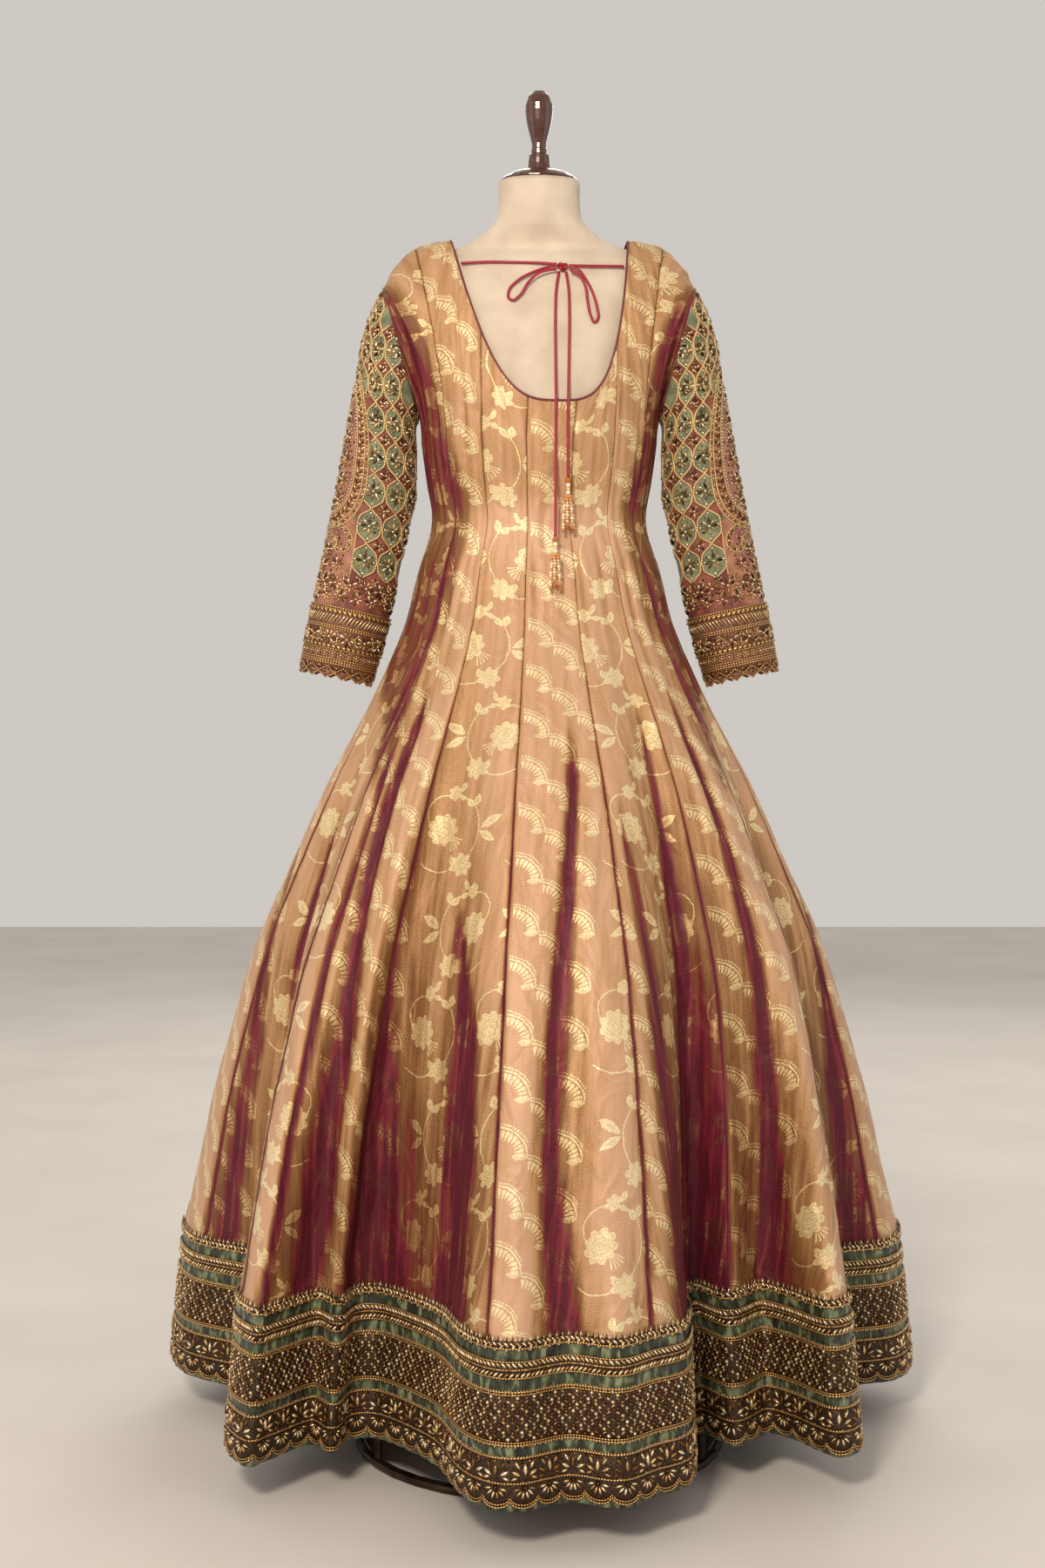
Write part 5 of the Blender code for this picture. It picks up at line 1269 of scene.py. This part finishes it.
# soft creases: round, up, half sizes round and up, rise in mm, lean
SLEEVE_CREASES = (
    (0.1, 0.262, 0.04, 0.007, -1.8, 0.25), (0.118, 0.244, 0.034, 0.008, 1.4, 0.1),
    (0.112, 0.222, 0.036, 0.007, -1.3, -0.15), (-0.108, 0.25, 0.036, 0.008, -1.6, -0.2),
    (-0.12, 0.23, 0.03, 0.007, 1.2, 0), (0.07, 0.405, 0.028, 0.008, -1.5, 0.7),
    (-0.066, 0.395, 0.028, 0.008, -1.4, -0.7), (0.02, 0.3, 0.03, 0.05, 0.9, 0),
    (0.084, 0.165, 0.03, 0.006, -0.9, 0.2), (-0.08, 0.172, 0.03, 0.006, -0.9, -0.1),
)


def sleeve_point(turn, ring):
    """Outer face of the left sleeve: ovals between its outer and inner edge lines.

    The turn is 0 on the outer edge, a quarter at the back, a half inside.
    """
    turn, ring = np.broadcast_arrays(np.asarray(turn, float), np.asarray(ring, float))
    out_x, out_z, in_x, in_z, half, forward = np.moveaxis(smooth(RINGS, SLEEVE, ring), -1, 0)
    c, s = np.cos(TURN * turn), np.sin(TURN * turn)
    x = (out_x + in_x) / 2 + c * (out_x - in_x) / 2 + SLEEVE_EASE
    z = (out_z + in_z) / 2 + c * (out_z - in_z) / 2
    return np.stack([-x, forward - s * half, z], axis=-1)


FINE_RINGS = np.linspace(RINGS[-1], 0, 361)
OUTER_UP, INNER_UP = (run_along(sleeve_point(turn, FINE_RINGS)) for turn in (0, 0.5))
GIRTHS = run_along(sleeve_point(np.linspace(0, 1, 121), FINE_RINGS[:, None]), 1)[:, -1]


def girth(up):
    """Length round the sleeve at a height up it."""
    return np.interp(up, (OUTER_UP + INNER_UP) / 2, GIRTHS)


def sleeve_up(ring, turn):
    """Height up the sleeve of a ring: the outer and inner edges' own, blended by
    the cosine of the turn."""
    outer, inner = (np.interp(-ring, -FINE_RINGS, edge) for edge in (OUTER_UP, INNER_UP))
    return (outer + inner) / 2 + np.cos(TURN * turn) * (outer - inner) / 2


def sleeve_frames(around, up, lift=BEAD_LIFT):
    """Frames on the creased sleeve; below the cuff's end they carry straight on.

    The ring at a height is found by halving.  Each crease is a bell round the
    sleeve times a bell up it, the second one slanted by the crease's lean.
    """
    around, up = np.broadcast_arrays(np.asarray(around, float), np.asarray(up, float))
    turn = around / girth(up)
    low, high = np.zeros(up.shape), np.full(up.shape, RINGS[-1])
    for _ in range(20):
        middle = (low + high) / 2
        above = sleeve_up(middle, turn) > up
        low, high = np.where(above, middle, low), np.where(above, high, middle)
    ring = (low + high) / 2
    across, rise, out = axes(sleeve_point, turn, ring, 0.004, -0.04)
    for a, u, half, tall, depth, lean in SLEEVE_CREASES:
        slanted = (up - u - lean * (around - a)) / tall
        lift = lift + depth * MM * bell((around - a) / half) * bell(slanted)
    at = sleeve_point(turn, ring) + out * lift[..., None]
    return at + rise * np.minimum(up, 0)[..., None], across, rise, out


def paisley_half(upper):
    """Reach and power of the paisley's outline in its upper or its lower half."""
    return (np.where(upper, high, low) for high, low in zip(PAISLEY_UPPER, PAISLEY_LOWER))


def on_lattice(around, up, edge=0.0):
    """Places of the diamond lattice: on the sleeve, clear of the paisley, whose
    outline is |x|^p + |y|^p = 1."""
    turn = np.abs(around) / girth(up)
    inside = (turn < 0.5 - edge / 0.3) & (up < sleeve_up(np.zeros(up.shape), turn) - 0.003 - edge)
    below = (np.abs(around) < GROUND_HALF - 0.0005 + edge) & (up < GROUND_TOP)
    reach, power = paisley_half(up > PAISLEY_AT)
    grow = 0.0125 + edge
    paisley = (np.abs(around / (PAISLEY_HALF + grow)) ** power
               + np.abs((up - PAISLEY_AT) / (reach + grow)) ** power) < 1
    return inside & ~paisley & ~below


def sleeve_silk():
    """Sleeve cloth: rose silk with sage organza diamonds laid on it.

    A diamond's edge is |A| + |B| = pi + bulge sin^2 B, with A and B the angles
    round and up its cell.  The weave is too fine to show.
    """
    material, node, shader = finish("rose_silk_with_sage_diamonds", Roughness=0.6, Sheen_Weight=0.08)
    uv = node("UVMap", uv_map="cloth")
    around, up, _ = node("SeparateXYZ", uv).outputs
    angles = []
    for place, middle, pitch in zip((around, up), CELL_AT, CELL):
        off = node("WRAP", node("SUBTRACT", place, middle), pitch / 2, -pitch / 2)
        angles.append(node("ABSOLUTE", node("MULTIPLY", off, TURN / pitch)))
    bulge = node("SINE", angles[1])
    edge = node("MULTIPLY_ADD", node("MULTIPLY", bulge, bulge), CELL_BULGE, math.pi)
    green = node("LESS_THAN", node("ADD", *angles), edge)
    green = node("MULTIPLY", green, node("GREATER_THAN", up, LATTICE_FOOT - 0.001))
    wide = node("ABSOLUTE", around)
    clear = node("MAXIMUM", node("GREATER_THAN", wide, GROUND_HALF),
                 node("GREATER_THAN", up, GROUND_TOP))
    grow = 0.012
    for (reach, power), side in ((PAISLEY_UPPER, "GREATER_THAN"), (PAISLEY_LOWER, "LESS_THAN")):
        x = node("POWER", node("DIVIDE", wide, PAISLEY_HALF + grow), power)
        y = node("ABSOLUTE", node("SUBTRACT", up, PAISLEY_AT))
        y = node("POWER", node("DIVIDE", y, reach + grow), power)
        whole = node("LESS_THAN", node("ADD", x, y), 1)
        part = node("MULTIPLY", node(side, up, PAISLEY_AT), whole)
        clear = node("SUBTRACT", clear, part)
    clear = node("GREATER_THAN", clear, 0.5)
    green = node("MULTIPLY", green, clear)
    cloud = node("TexNoise", uv, Scale=45, Detail=2)
    rose = node("ValToRGB", cloud, stops=((0.35, "#5C2420"), (0.7, "#90503C")))
    blush = node("ValToRGB", cloud, stops=((0.3, "#784438"), (0.7, "#B07A5E")))
    sage = node("ValToRGB", cloud, stops=((0.3, "#4E5640"), (0.7, "#8A8E6C")))
    warm = node("Mix", clear, blush, rose, data_type="RGBA")
    height = node("MULTIPLY_ADD", green, 0.6, cloud)
    feed(shader, {"Base Color": node("Mix", green, warm, sage, data_type="RGBA"),
                  "Normal": node("Bump", Strength=0.7, Distance=0.0008, Height=height)})
    return material


SLEEVE_SILK = sleeve_silk()
# the cuff's ground: dull copper-rose zari tissue
CUFF_TISSUE = plain_finish("copper_rose_tissue", "#4E2C1E", "#8C5C42", 260, bump=0.0008,
                           Roughness=0.5, Metallic=0.35)


def sleeve_cord(around, up, radius, lift=0.0, sides=4, closed=False):
    """Cord couched on the sleeve through the given places."""
    at, _, _, out = sleeve_frames(around, up, lift + radius * 0.55)
    return cords(at[None], out[None], radius, sides, closed=closed, twist=math.pi / 4)


def lattice_cords():
    """Cords between the diamonds: half width = pitch / 2 pi (pi - |B| + bulge sin^2 B),
    left and right of every column, cut where the lattice stops."""
    up = np.arange(LATTICE_FOOT, 0.474, 0.0022)
    b = np.abs(((up - CELL_AT[1]) / CELL[1] + 0.5) % 1 - 0.5) * TURN
    half = CELL[0] / TURN * (np.pi - b + CELL_BULGE * np.sin(b) ** 2)
    parts = []
    for column in range(-8, 8):
        for side in (-1, 1):
            around = CELL_AT[0] + CELL[0] * column + side * half
            keep = np.pad(on_lattice(around, up).astype(int), 1)
            ends = np.flatnonzero(np.diff(keep))
            parts += [sleeve_cord(around[start:stop], up[start:stop], 0.0014)
                      for start, stop in zip(ends[::2], ends[1::2]) if stop - start > 3]
    return parts


def cells(shift):
    """Middles of the diamonds; shifted by half a cell they are the rose ones."""
    cell = np.stack(np.meshgrid(np.arange(-8, 8), np.arange(8)), axis=-1).reshape(-1, 2)
    around, up = (CELL_AT + (cell + shift) * CELL).T
    keep = on_lattice(around, up, 0.006)
    return around[keep], up[keep]


def cut_beads(around, up, size, shade, lift=BEAD_LIFT, stretch=1, angle=0.0):
    """Cut beads set on the sleeve."""
    return CUT, sleeve_frames(around, up, lift), angle, size, stretch, shade


def flowers(around, up, petals, reach, size, key, lift=BEAD_LIFT):
    """Bead flowers: leaf beads round a cut one."""
    around, up = np.broadcast_arrays(around, up)
    sets = []
    for k in range(petals):
        way = TURN * k / petals + 0.35 * key
        at = sleeve_frames(around + math.sin(way) * reach, up + math.cos(way) * reach, lift)
        shade = scattered(len(around), k * 1.7 + key, 0.25 * (k % 2), 0.75)
        sets.append((LEAF, at, -way, size, (1, 1, 1.2), shade))
    return sets + [cut_beads(around, up, size * 0.5, 0.95, lift, (1, 1, 1.3), 0.3)]


def paisley_line(grow, count=160):
    """Places on the paisley's outline, grown outwards; its halves have the cosine
    and sine raised to 2 / p."""
    turn = np.arange(count + 1) / count * TURN
    c, s = np.cos(turn), np.sin(turn)
    reach, power = paisley_half(s > 0)
    around = np.sign(c) * np.abs(c) ** (2 / power) * (PAISLEY_HALF + grow)
    up = PAISLEY_AT + np.sign(s) * np.abs(s) ** (2 / power) * (reach + grow)
    around[-1], up[-1] = around[0], up[0]
    length = run_along(np.stack([around, up], axis=1))
    at = turn[:-1] / TURN * length[-1]
    around, up = np.interp(at, length, around), np.interp(at, length, up)
    way = np.arctan2(np.roll(up, -1) - np.roll(up, 1), np.roll(around, -1) - np.roll(around, 1))
    return around, up, way


def line_of(points, flip, spacing):
    """Smooth line through places on the sleeve in mm, or their mirror's: round, up
    and way, evenly spaced."""
    route = along(np.array([(flip * a, u, 0) for a, u in points]) * MM, spacing * MM)
    step = np.gradient(route, axis=0)
    return route[:, 0], route[:, 1], np.arctan2(step[:, 1], step[:, 0])


def herringbone(line, size, offset, key):
    """Two rows of leaf beads that slant back from a line."""
    around, up, way = line
    return [(LEAF, sleeve_frames(around - np.sin(way) * side * offset,
                                 up + np.cos(way) * side * offset, 0.0),
             way - math.pi / 2 + side * 0.75, size, (1, 1, 1.2),
             scattered(len(around), key + side, 0.1, 0.8)) for side in (-1, 1)]


def round_row(up, pitch, shift=0.0):
    """Evenly spaced places round the sleeve at one height."""
    count = int(round(girth(up) / pitch))
    return ((np.arange(count) + shift) / count - 0.5) * girth(up), np.full(count, up)


# curled lines of beads, in mm round and up: the paisley's tip, and two small
# curls under it that are repeated in mirror
PAISLEY_TIP = ((-8, 379), (14, 386), (38, 388), (60, 380), (71, 366), (69, 352), (57, 345),
               (46, 350), (44, 361), (53, 367), (60, 361))
SMALL_CURLS = (((10, 172), (24, 179), (42, 177), (54, 166), (52, 154), (41, 150), (34, 157), (40, 163)),
               ((6, 158), (18, 165), (30, 163), (36, 152)))
CURLS = ((PAISLEY_TIP, 1), *((curl, flip) for curl in SMALL_CURLS for flip in (1, -1)))
# bead flowers in the paisley and in the ground under it, in mm round and up
PAISLEY_FLOWERS = ((0, 206), (24, 211), (-24, 211), (0, 232), (27, 237), (-27, 237), (0, 258),
                   (28, 264), (-28, 264), (0, 284), (25, 291), (-25, 291), (0, 310), (18, 318),
                   (-18, 318), (0, 336), (12, 348), (-8, 358), (28, 372))
GROUND_FLOWERS = ((0, 152), (24, 148), (-24, 148), (0, 130), (20, 128), (-20, 128), (43, 132),
                  (-43, 132), (0, 171))


def sleeve_purl():
    """Fine cords: between the diamonds, round the paisley, its tip and the curls,
    and up both sides of the plain ground."""
    fine = lattice_cords()
    for grow in (-0.0062, 0.0060, 0.0115):
        around, up, _ = paisley_line(grow)
        fine.append(sleeve_cord(around, up, 0.0010, closed=True))
    for points, flip in CURLS:
        a, u, way = line_of(points, flip, 2.4)
        fine.append(sleeve_cord(a - np.sin(way) * 0.0032, u + np.cos(way) * 0.0032, 0.0009))
    up = np.linspace(LATTICE_FOOT, GROUND_TOP, 30)
    return merged(fine + [sleeve_cord(side * GROUND_HALF, up, 0.0010) for side in (-1, 1)])


def sleeve_beads():
    """Beads on the sleeve: in the diamonds, along the lines and in the grounds."""
    green, rose = cells(0), cells(0.5)
    count = len(green[0])
    sets = flowers(*green, 8, 0.0068, 0.0052, 0, 0.0004)
    sets += flowers(*rose, 7, 0.0052, 0.0042, 1, 0.0004)
    for right, up, angle in ((0, 0.37, 0), (0, -0.37, 0), (0.36, 0, 1.57), (-0.36, 0, 1.57)):
        sets.append(cut_beads(green[0] + right * CELL[0], green[1] + up * CELL[1], 0.0023, 1,
                              stretch=(0.75, 1.35, 0.9), angle=angle))
    for k in range(8):
        swing = scattered(count, k, 0, TURN)
        sets.append(cut_beads(green[0] + np.cos(swing) * 0.0095, green[1] + np.sin(swing) * 0.0125,
                              0.0014, scattered(count, k + 3)))
    sets += herringbone(paisley_line(0, 124), 0.0042, 0.0025, 2)
    for grow, number, size, shade in ((0.0088, 140, 0.0017, scattered(140, 4, 0.25, 0.75)),
                                      (-0.0092, 110, 0.0016, 1)):
        around, up, _ = paisley_line(grow, number)
        sets.append(cut_beads(around, up, size, shade, stretch=(1, 1, 1.1)))
    for points, flip in CURLS:
        sets += herringbone(line_of(points, flip, 3.4), 0.0032, 0, flip)
    around, up = np.array(PAISLEY_FLOWERS).T * MM
    sets += flowers(around, up, 8, 0.0056, 0.0042, 3)
    for k in range(13):
        way = TURN * k / 13
        sets.append(cut_beads(around + 0.0108 * np.cos(way), up + 0.0108 * np.sin(way), 0.0017,
                              scattered(len(around), k, 0.3, 0.7)))
    # small beads fill the grounds between: a sunflower spread, radius sqrt(share)
    # and turn 137.5 degrees a bead
    for count, half, rise, middle in ((230, 0.044, 0.092, 0.278), (90, 0.056, 0.034, 0.155)):
        spread = np.sqrt((np.arange(count) + 0.5) / count)
        turn = np.arange(count) * math.radians(137.508)
        sets.append(cut_beads(half * spread * np.cos(turn), middle + rise * spread * np.sin(turn),
                              0.0014, scattered(count, half), stretch=(1, 1, 1.2)))
    around, up = np.array(GROUND_FLOWERS).T * MM
    sets += flowers(around, up, 8, 0.0058, 0.0042, 2)
    for up, reach, size, petals, shift in ((0.1080, 0.0062, 0.0046, 9, 0),
                                           (0.0925, 0.0056, 0.0042, 8, 0.5),
                                           (0.1180, 0.0034, 0.0030, 6, 0.5),
                                           (0.1000, 0.0030, 0.0028, 6, 0.45)):
        sets += flowers(*round_row(up, 0.0180, shift), petals, reach, size, up * 100)
    return sets


def cuff_lines(places, tooth):
    """The cuff's gilt cords and dark braids, from its top down: cords, braid, gota,
    bead flowers, braid, rings, cords, and zigzags along its points."""
    def lap(up, radius, lift=CUFF_FACE, sides=4):
        return sleeve_cord(places * girth(np.max(up)), up, radius, lift, sides, True)
    gilt = [lap(CUFF_UP - down, radius) for down, radius in (
        (0.001, 0.0011), (0.0036, 0.0010), (0.0245, 0.0011), (0.0270, 0.0010),
        (0.0530, 0.0009), (0.0655, 0.0009), (0.0685, 0.0011), (0.0712, 0.0011))]
    circle = np.arange(12) / 12 * TURN
    gilt += [sleeve_cord(middle + 0.0034 * np.cos(circle), RING_ROW + 0.0034 * np.sin(circle),
                         0.0008, CUFF_FACE, 4, True) for middle in round_row(RING_ROW, 0.0090)[0]]
    around = places * girth(0)
    gilt.append(sleeve_cord(around, -0.0046 - 0.0066 * tooth, 0.0010, 0.0006, 4, True))
    gilt.append(sleeve_cord(around, 0.0035 - 0.0076 * (1 - tooth), 0.0009, CUFF_FACE, 4, True))
    return gilt, [lap(CUFF_UP - down, 0.0019, sides=6) for down in (0.0060, 0.0500)]


def cuff_beads():
    """Beads on the cuff: slanting gota leaves, flowers, ring middles and points."""
    a, u = round_row(CUFF_UP - 0.0150, 0.0040)
    sets = [(LEAF, sleeve_frames(a, u, CUFF_FACE), -0.5, 0.0088, (0.34, 1, 0.34),
             scattered(len(a), 1, 0.50, 0.40)),
            # the second row, all in the darkest shade and sunk a little, is painted shade in the gaps
            # between the gota leaves
            (LEAF, sleeve_frames(a + 0.0020, u, CUFF_FACE - 0.0002), -0.5, 0.0080, (0.12, 1, 0.2), 0)]
    a, u = round_row(CUFF_UP - 0.0385, 0.0195)
    sets += flowers(a, u, 9, 0.0062, 0.0046, 1, CUFF_FACE)
    for side, key in ((1, 2), (-1, 3)):
        sets += flowers(a + 0.0097, u + side * 0.0045, 6, 0.0034, 0.0030, key, CUFF_FACE)
    sets.append(cut_beads(*round_row(RING_ROW, 0.0090), 0.0019, 0.9, CUFF_FACE, (1, 1, 1.2), 0.4))
    sets.append(cut_beads(*round_row(RING_ROW, 0.0090, 0.5), 0.0013, 0.2, CUFF_FACE, angle=0.4))
    a = np.arange(CUFF_POINTS) / CUFF_POINTS * girth(0)
    sets += flowers(a, -0.0030, 3, 0.0022, 0.0020, 0, 0.0012)
    return sets + flowers(a + girth(0) / CUFF_POINTS / 2, 0.0030, 3, 0.0018, 0.0017, 1, CUFF_FACE)


def sleeve(name, mirror):
    """One sleeve: embroidered silk, its cords and beads, cuff band and pointed
    edging."""
    turn, ring = np.meshgrid(np.linspace(-0.5, 0.5, 73), np.linspace(RINGS[-1], 0, 64))
    up = sleeve_up(ring, turn)
    around = turn * girth(up)
    at, _, _, out = sleeve_frames(around, up, 0.0)
    silk = shell(f"sleeve_{name}_silk", at, out, 0.0012, SLEEVE_SILK,
                 np.stack([around, up], axis=-1), mirror=mirror)
    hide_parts(f"sleeve_{name}")

    places = np.arange(112) / 112
    tooth = np.abs(places * CUFF_POINTS % 1 * 2 - 1)
    band_up = np.linspace(0, CUFF_UP, 9)[:, None]
    edge_up = -0.0005 - np.linspace(1, 0, 4)[:, None] * (0.0049 + 0.0066 * tooth)
    for label, node, up, wall, lift in (("band", "cuff", band_up, CUFF_WALL, CUFF_FACE),
                                        ("points", "cuff_edge", edge_up, 0.0015, 0.00075)):
        at, _, _, out = sleeve_frames(places * girth(np.maximum(up, 0)), up, lift)
        uv = np.stack(np.broadcast_arrays(places * CUFF_ROUND, up), axis=-1)
        shell(f"cuff_{name}_{label}", at, out, wall, CUFF_TISSUE, uv,
                          wrap=True, mirror=mirror)
        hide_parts(f"{node}_{name}")
    points, faces, uv = sleeve_purl()
    piece(f"sleeve_{name}_purl", points, faces, PURL_CORD, uv, mirror=mirror)
    stitched(f"sleeve_{name}_beads", sleeve_beads(), mirror)
    gilt, dark = cuff_lines(places, tooth)
    for label, lines, cord in (("cords", gilt, GOLD_CORD), ("braids", dark, DARK_CORD)):
        points, faces, uv = merged(lines)
        piece(f"cuff_{name}_{label}", points, faces, cord, uv, mirror=mirror)
    stitched(f"cuff_{name}_beads", cuff_beads(), mirror)


# ------------------------------------------------ neck piping, form and stand
PIPING_RADIUS = 0.0015
# form rings: height, half width, depth to the back, depth to the front
FORM = np.array((
    (0.86, 0.14, 0.116, 0.094), (0.88, 0.152, 0.124, 0.102), (0.95, 0.166, 0.128, 0.11),
    (1.03, 0.15, 0.112, 0.105), (1.095, 0.134, 0.09, 0.092), (1.138, 0.1285, 0.081, 0.087),
    (1.2, 0.137, 0.089, 0.103), (1.25, 0.144, 0.096, 0.112), (1.287, 0.148, 0.096, 0.111),
    (1.32, 0.156, 0.093, 0.105), (1.366, 0.164, 0.085, 0.091), (1.41, 0.175, 0.075, 0.075),
    (1.443, 0.184, 0.064, 0.063), (1.463, 0.177, 0.055, 0.055), (1.478, 0.163, 0.046, 0.046),
    (1.486, 0.143, 0.036, 0.036), (1.4915, 0.123, 0.031, 0.031), (1.4965, 0.104, 0.03, 0.03),
    (1.5065, 0.083, 0.035, 0.035), (1.519, 0.066, 0.043, 0.043), (1.532, 0.055, 0.0435, 0.0435),
    (1.55, 0.052, 0.045, 0.045), (1.5785, 0.052, 0.047, 0.047),
))


def linen(name, low, high):
    """Plain-weave linen stretched over a padded form: warp and weft ribs across
    each other.  Its threads are 0.4 mm and are drawn at 1.2 mm to show."""
    material, node, shader = finish(name, Roughness=0.85, Sheen_Weight=0.15)
    here = node("TexCoord").outputs["Object"]
    warp, weft = (node("TexWave", here, Scale=260, Distortion=0.8, Detail=1, Detail_Scale=1.5,
                       bands_direction=way).outputs["Fac"] for way in "XZ")
    weave = node("MULTIPLY", warp, weft)
    tone = node("MULTIPLY_ADD", weave, 0.25, node("TexNoise", here, Scale=24, Detail=4))
    feed(shader, {"Base Color": node("ValToRGB", tone, stops=((0.35, low), (0.85, high))),
                  "Normal": node("Bump", Strength=0.35, Distance=0.0003, Height=weave)})
    return material


def turned_wood(name, dark, light):
    """Dark stained hardwood, turned and varnished: long grain under a clear gloss."""
    material, node, shader = finish(name, Roughness=0.28, Coat_Weight=0.6, Coat_Roughness=0.08)
    place = node("Mapping", node("TexCoord").outputs["Object"], Scale=(1, 1, 0.12))
    lines = node("TexNoise", place, Scale=420, Detail=4, Distortion=0.6)
    feed(shader, {"Base Color": node("ValToRGB", lines, stops=((0.3, dark), (0.72, light)))})
    return material


# woven linen over firm padding, cream, slightly slubbed
LINEN = linen("cream_linen", "#C0AF9A", "#D8C9B5")
# bias silk over a fine cord
PIPING = plain_finish("maroon_silk_piping", "#5A1B22", "#7C3034", 500, bump=0.0002, Roughness=0.5)
# varnished walnut-stained hardwood: deep brown, sharp highlights
DARK_WOOD = turned_wood("varnished_dark_hardwood", "#2A1108", "#5C2C18")
# antique bronze lacquer over steel tube, worn lighter on its turns
BRONZE = plain_finish("antique_bronze_lacquer", "#1E1712", "#4A3828", 40, bump=0.0001,
                      Roughness=0.32, Metallic=0.85)


def dress_form():
    """Padded torso: the rings' ovals, joined up smoothly, with a closed base and
    top; x = half width sin, y = -depth cos, the depth easing from back to front."""
    heights = np.unique(np.concatenate([np.linspace(FORM[0, 0], FORM[-1, 0], 84), FORM[:, 0]]))
    half, back, front = section(heights[:, None], FORM)
    angle = np.arange(72) / 72 * TURN
    blend = (1 + np.cos(angle)) / 2
    sharp = np.where(np.cos(angle) > 0, back, front)
    soft = back * blend + front * (1 - blend)
    rings = np.stack(np.broadcast_arrays(half * np.sin(angle), -(sharp + soft) / 2 * np.cos(angle),
                                         heights[:, None]), axis=-1)
    # the CAD's own flat-sided ring lies inside this one by 1 - cos(half a side)
    rings[..., :2] *= math.cos(math.pi / 24) ** 0.5
    rings = np.concatenate([rings[:1] * (0.94, 0.94, 1), rings])
    rows, cols = rings.shape[:2]
    end = rows * cols
    points = np.concatenate([rings.reshape(-1, 3), [(0, 0, FORM[0, 0]), (0, 0, FORM[-1, 0])]])
    faces = np.concatenate([grid_faces(rows, cols, 0, True), *fans(cols, 0, end, end - cols, end + 1)])
    form = piece("linen_dress_form", points, faces, LINEN)
    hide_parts("form_torso")


def neck_piping():
    """Fine corded piping round the neck: a tube that rides half over the edge."""
    span = np.linspace(-SHOULDER_DEG, SHOULDER_DEG, 81)[1:]
    columns = np.concatenate([span, 180 + span])
    edge = gown_point(columns, 1)
    hanging = unit(edge - gown_point(columns, 0.97))
    before, after = gown_point(columns - 0.3, 0.99), gown_point(columns + 0.3, 0.99)
    normal = unit(np.cross(after - before, hanging))
    path = edge + hanging * (PIPING_RADIUS + 0.0002) - normal * CLOTH / 2
    points, faces, uv = cords(path[None], normal[None], PIPING_RADIUS, sides=8, closed=True)
    piping = piece("neck_piping_cord", points, faces, PIPING, uv)
    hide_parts("neck_piping")


def refinish(material, *names):
    """Give carried-over model parts their finish."""
    for name in names:
        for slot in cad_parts[name].material_slots:
            slot.material = material


def shoulder_beads():
    """Beaded edge of the front yoke, just showing over each shoulder seam."""
    sets = []
    for side in (-1, 1):
        for line, (level, size) in enumerate(((0.965, 0.0030), (0.985, 0.0034))):
            column = side * np.linspace(134, 114, 26) + (line - 0.5) * 0.35
            at, out = cloth_frame(column, level, 0.0002)
            across = unit(cloth_frame(column + 0.3, level)[0] - at)
            frames = (at, across, np.cross(out, across), out)
            sets += [(LEAF, frames, 0.9 - 1.8 * line, size, (1, 1, 1.2),
                      scattered(26, line + side, 0, 0.9)),
                     (CUT, frames, 0, size * 0.5, 1, 1)]
    stitched("shoulder_bead_edge", sets)


# ------------------------------------------------------------- the making

lay_dori()
for index in range(KALIS):
    kali(index)
hem_border()
for name, mirror in (("left", False), ("right", True)):
    sleeve(name, mirror)
neck_piping()
shoulder_beads()
dress_form()
refinish(DARK_WOOD, "finial", "neck_cap")
refinish(BRONZE, "stand_pole", "stand_ring", *(f"stand_leg_{k}" for k in range(4)))

# plain pale floor and soft studio light
floor = bpy.data.meshes.new("floor")
floor.from_pydata([(-6, -6, 0), (6, -6, 0), (6, 6, 0), (-6, 6, 0)], [], [(0, 1, 2, 3)])
floor.materials.append(plain_finish("matt_pale_floor", "#CFCAC3", "#D8D3CC", 3, Roughness=0.7))
placed("floor", floor)

world = bpy.data.worlds.new("studio")
world.use_nodes = True
feed(world.node_tree.nodes["Background"], {"Color": colour("#EAE4DE"), "Strength": 0.75})
bpy.context.scene.world = world
bpy.context.scene.view_settings.view_transform = "Standard"


def soft_light(name, at, aim_height, size, power, hex_code):
    """Square soft box at a point, turned to face the gown's axis at a height."""
    data = bpy.data.lights.new(name, "AREA")
    data.shape = "SQUARE"
    data.size = size
    data.energy = power
    data.color = colour(hex_code)[:3]
    x, y, z = at
    tilt = math.atan2(math.hypot(x, y), z - aim_height)
    placed(name, data, at, (tilt, 0, math.atan2(x, -y)))


soft_light("key", (-0.8, -3.4, 2.6), 1.0, 0.6, 104, "#FFF1E0")
soft_light("fill_left", (-3.0, -1.2, 1.8), 0.9, 2.2, 12, "#FFFFFF")
soft_light("fill_right", (3.0, -0.8, 1.9), 0.9, 2.2, 10, "#FFFFFF")
soft_light("behind", (0.4, 3.2, 2.6), 0.9, 2.4, 40, "#FFF8F0")
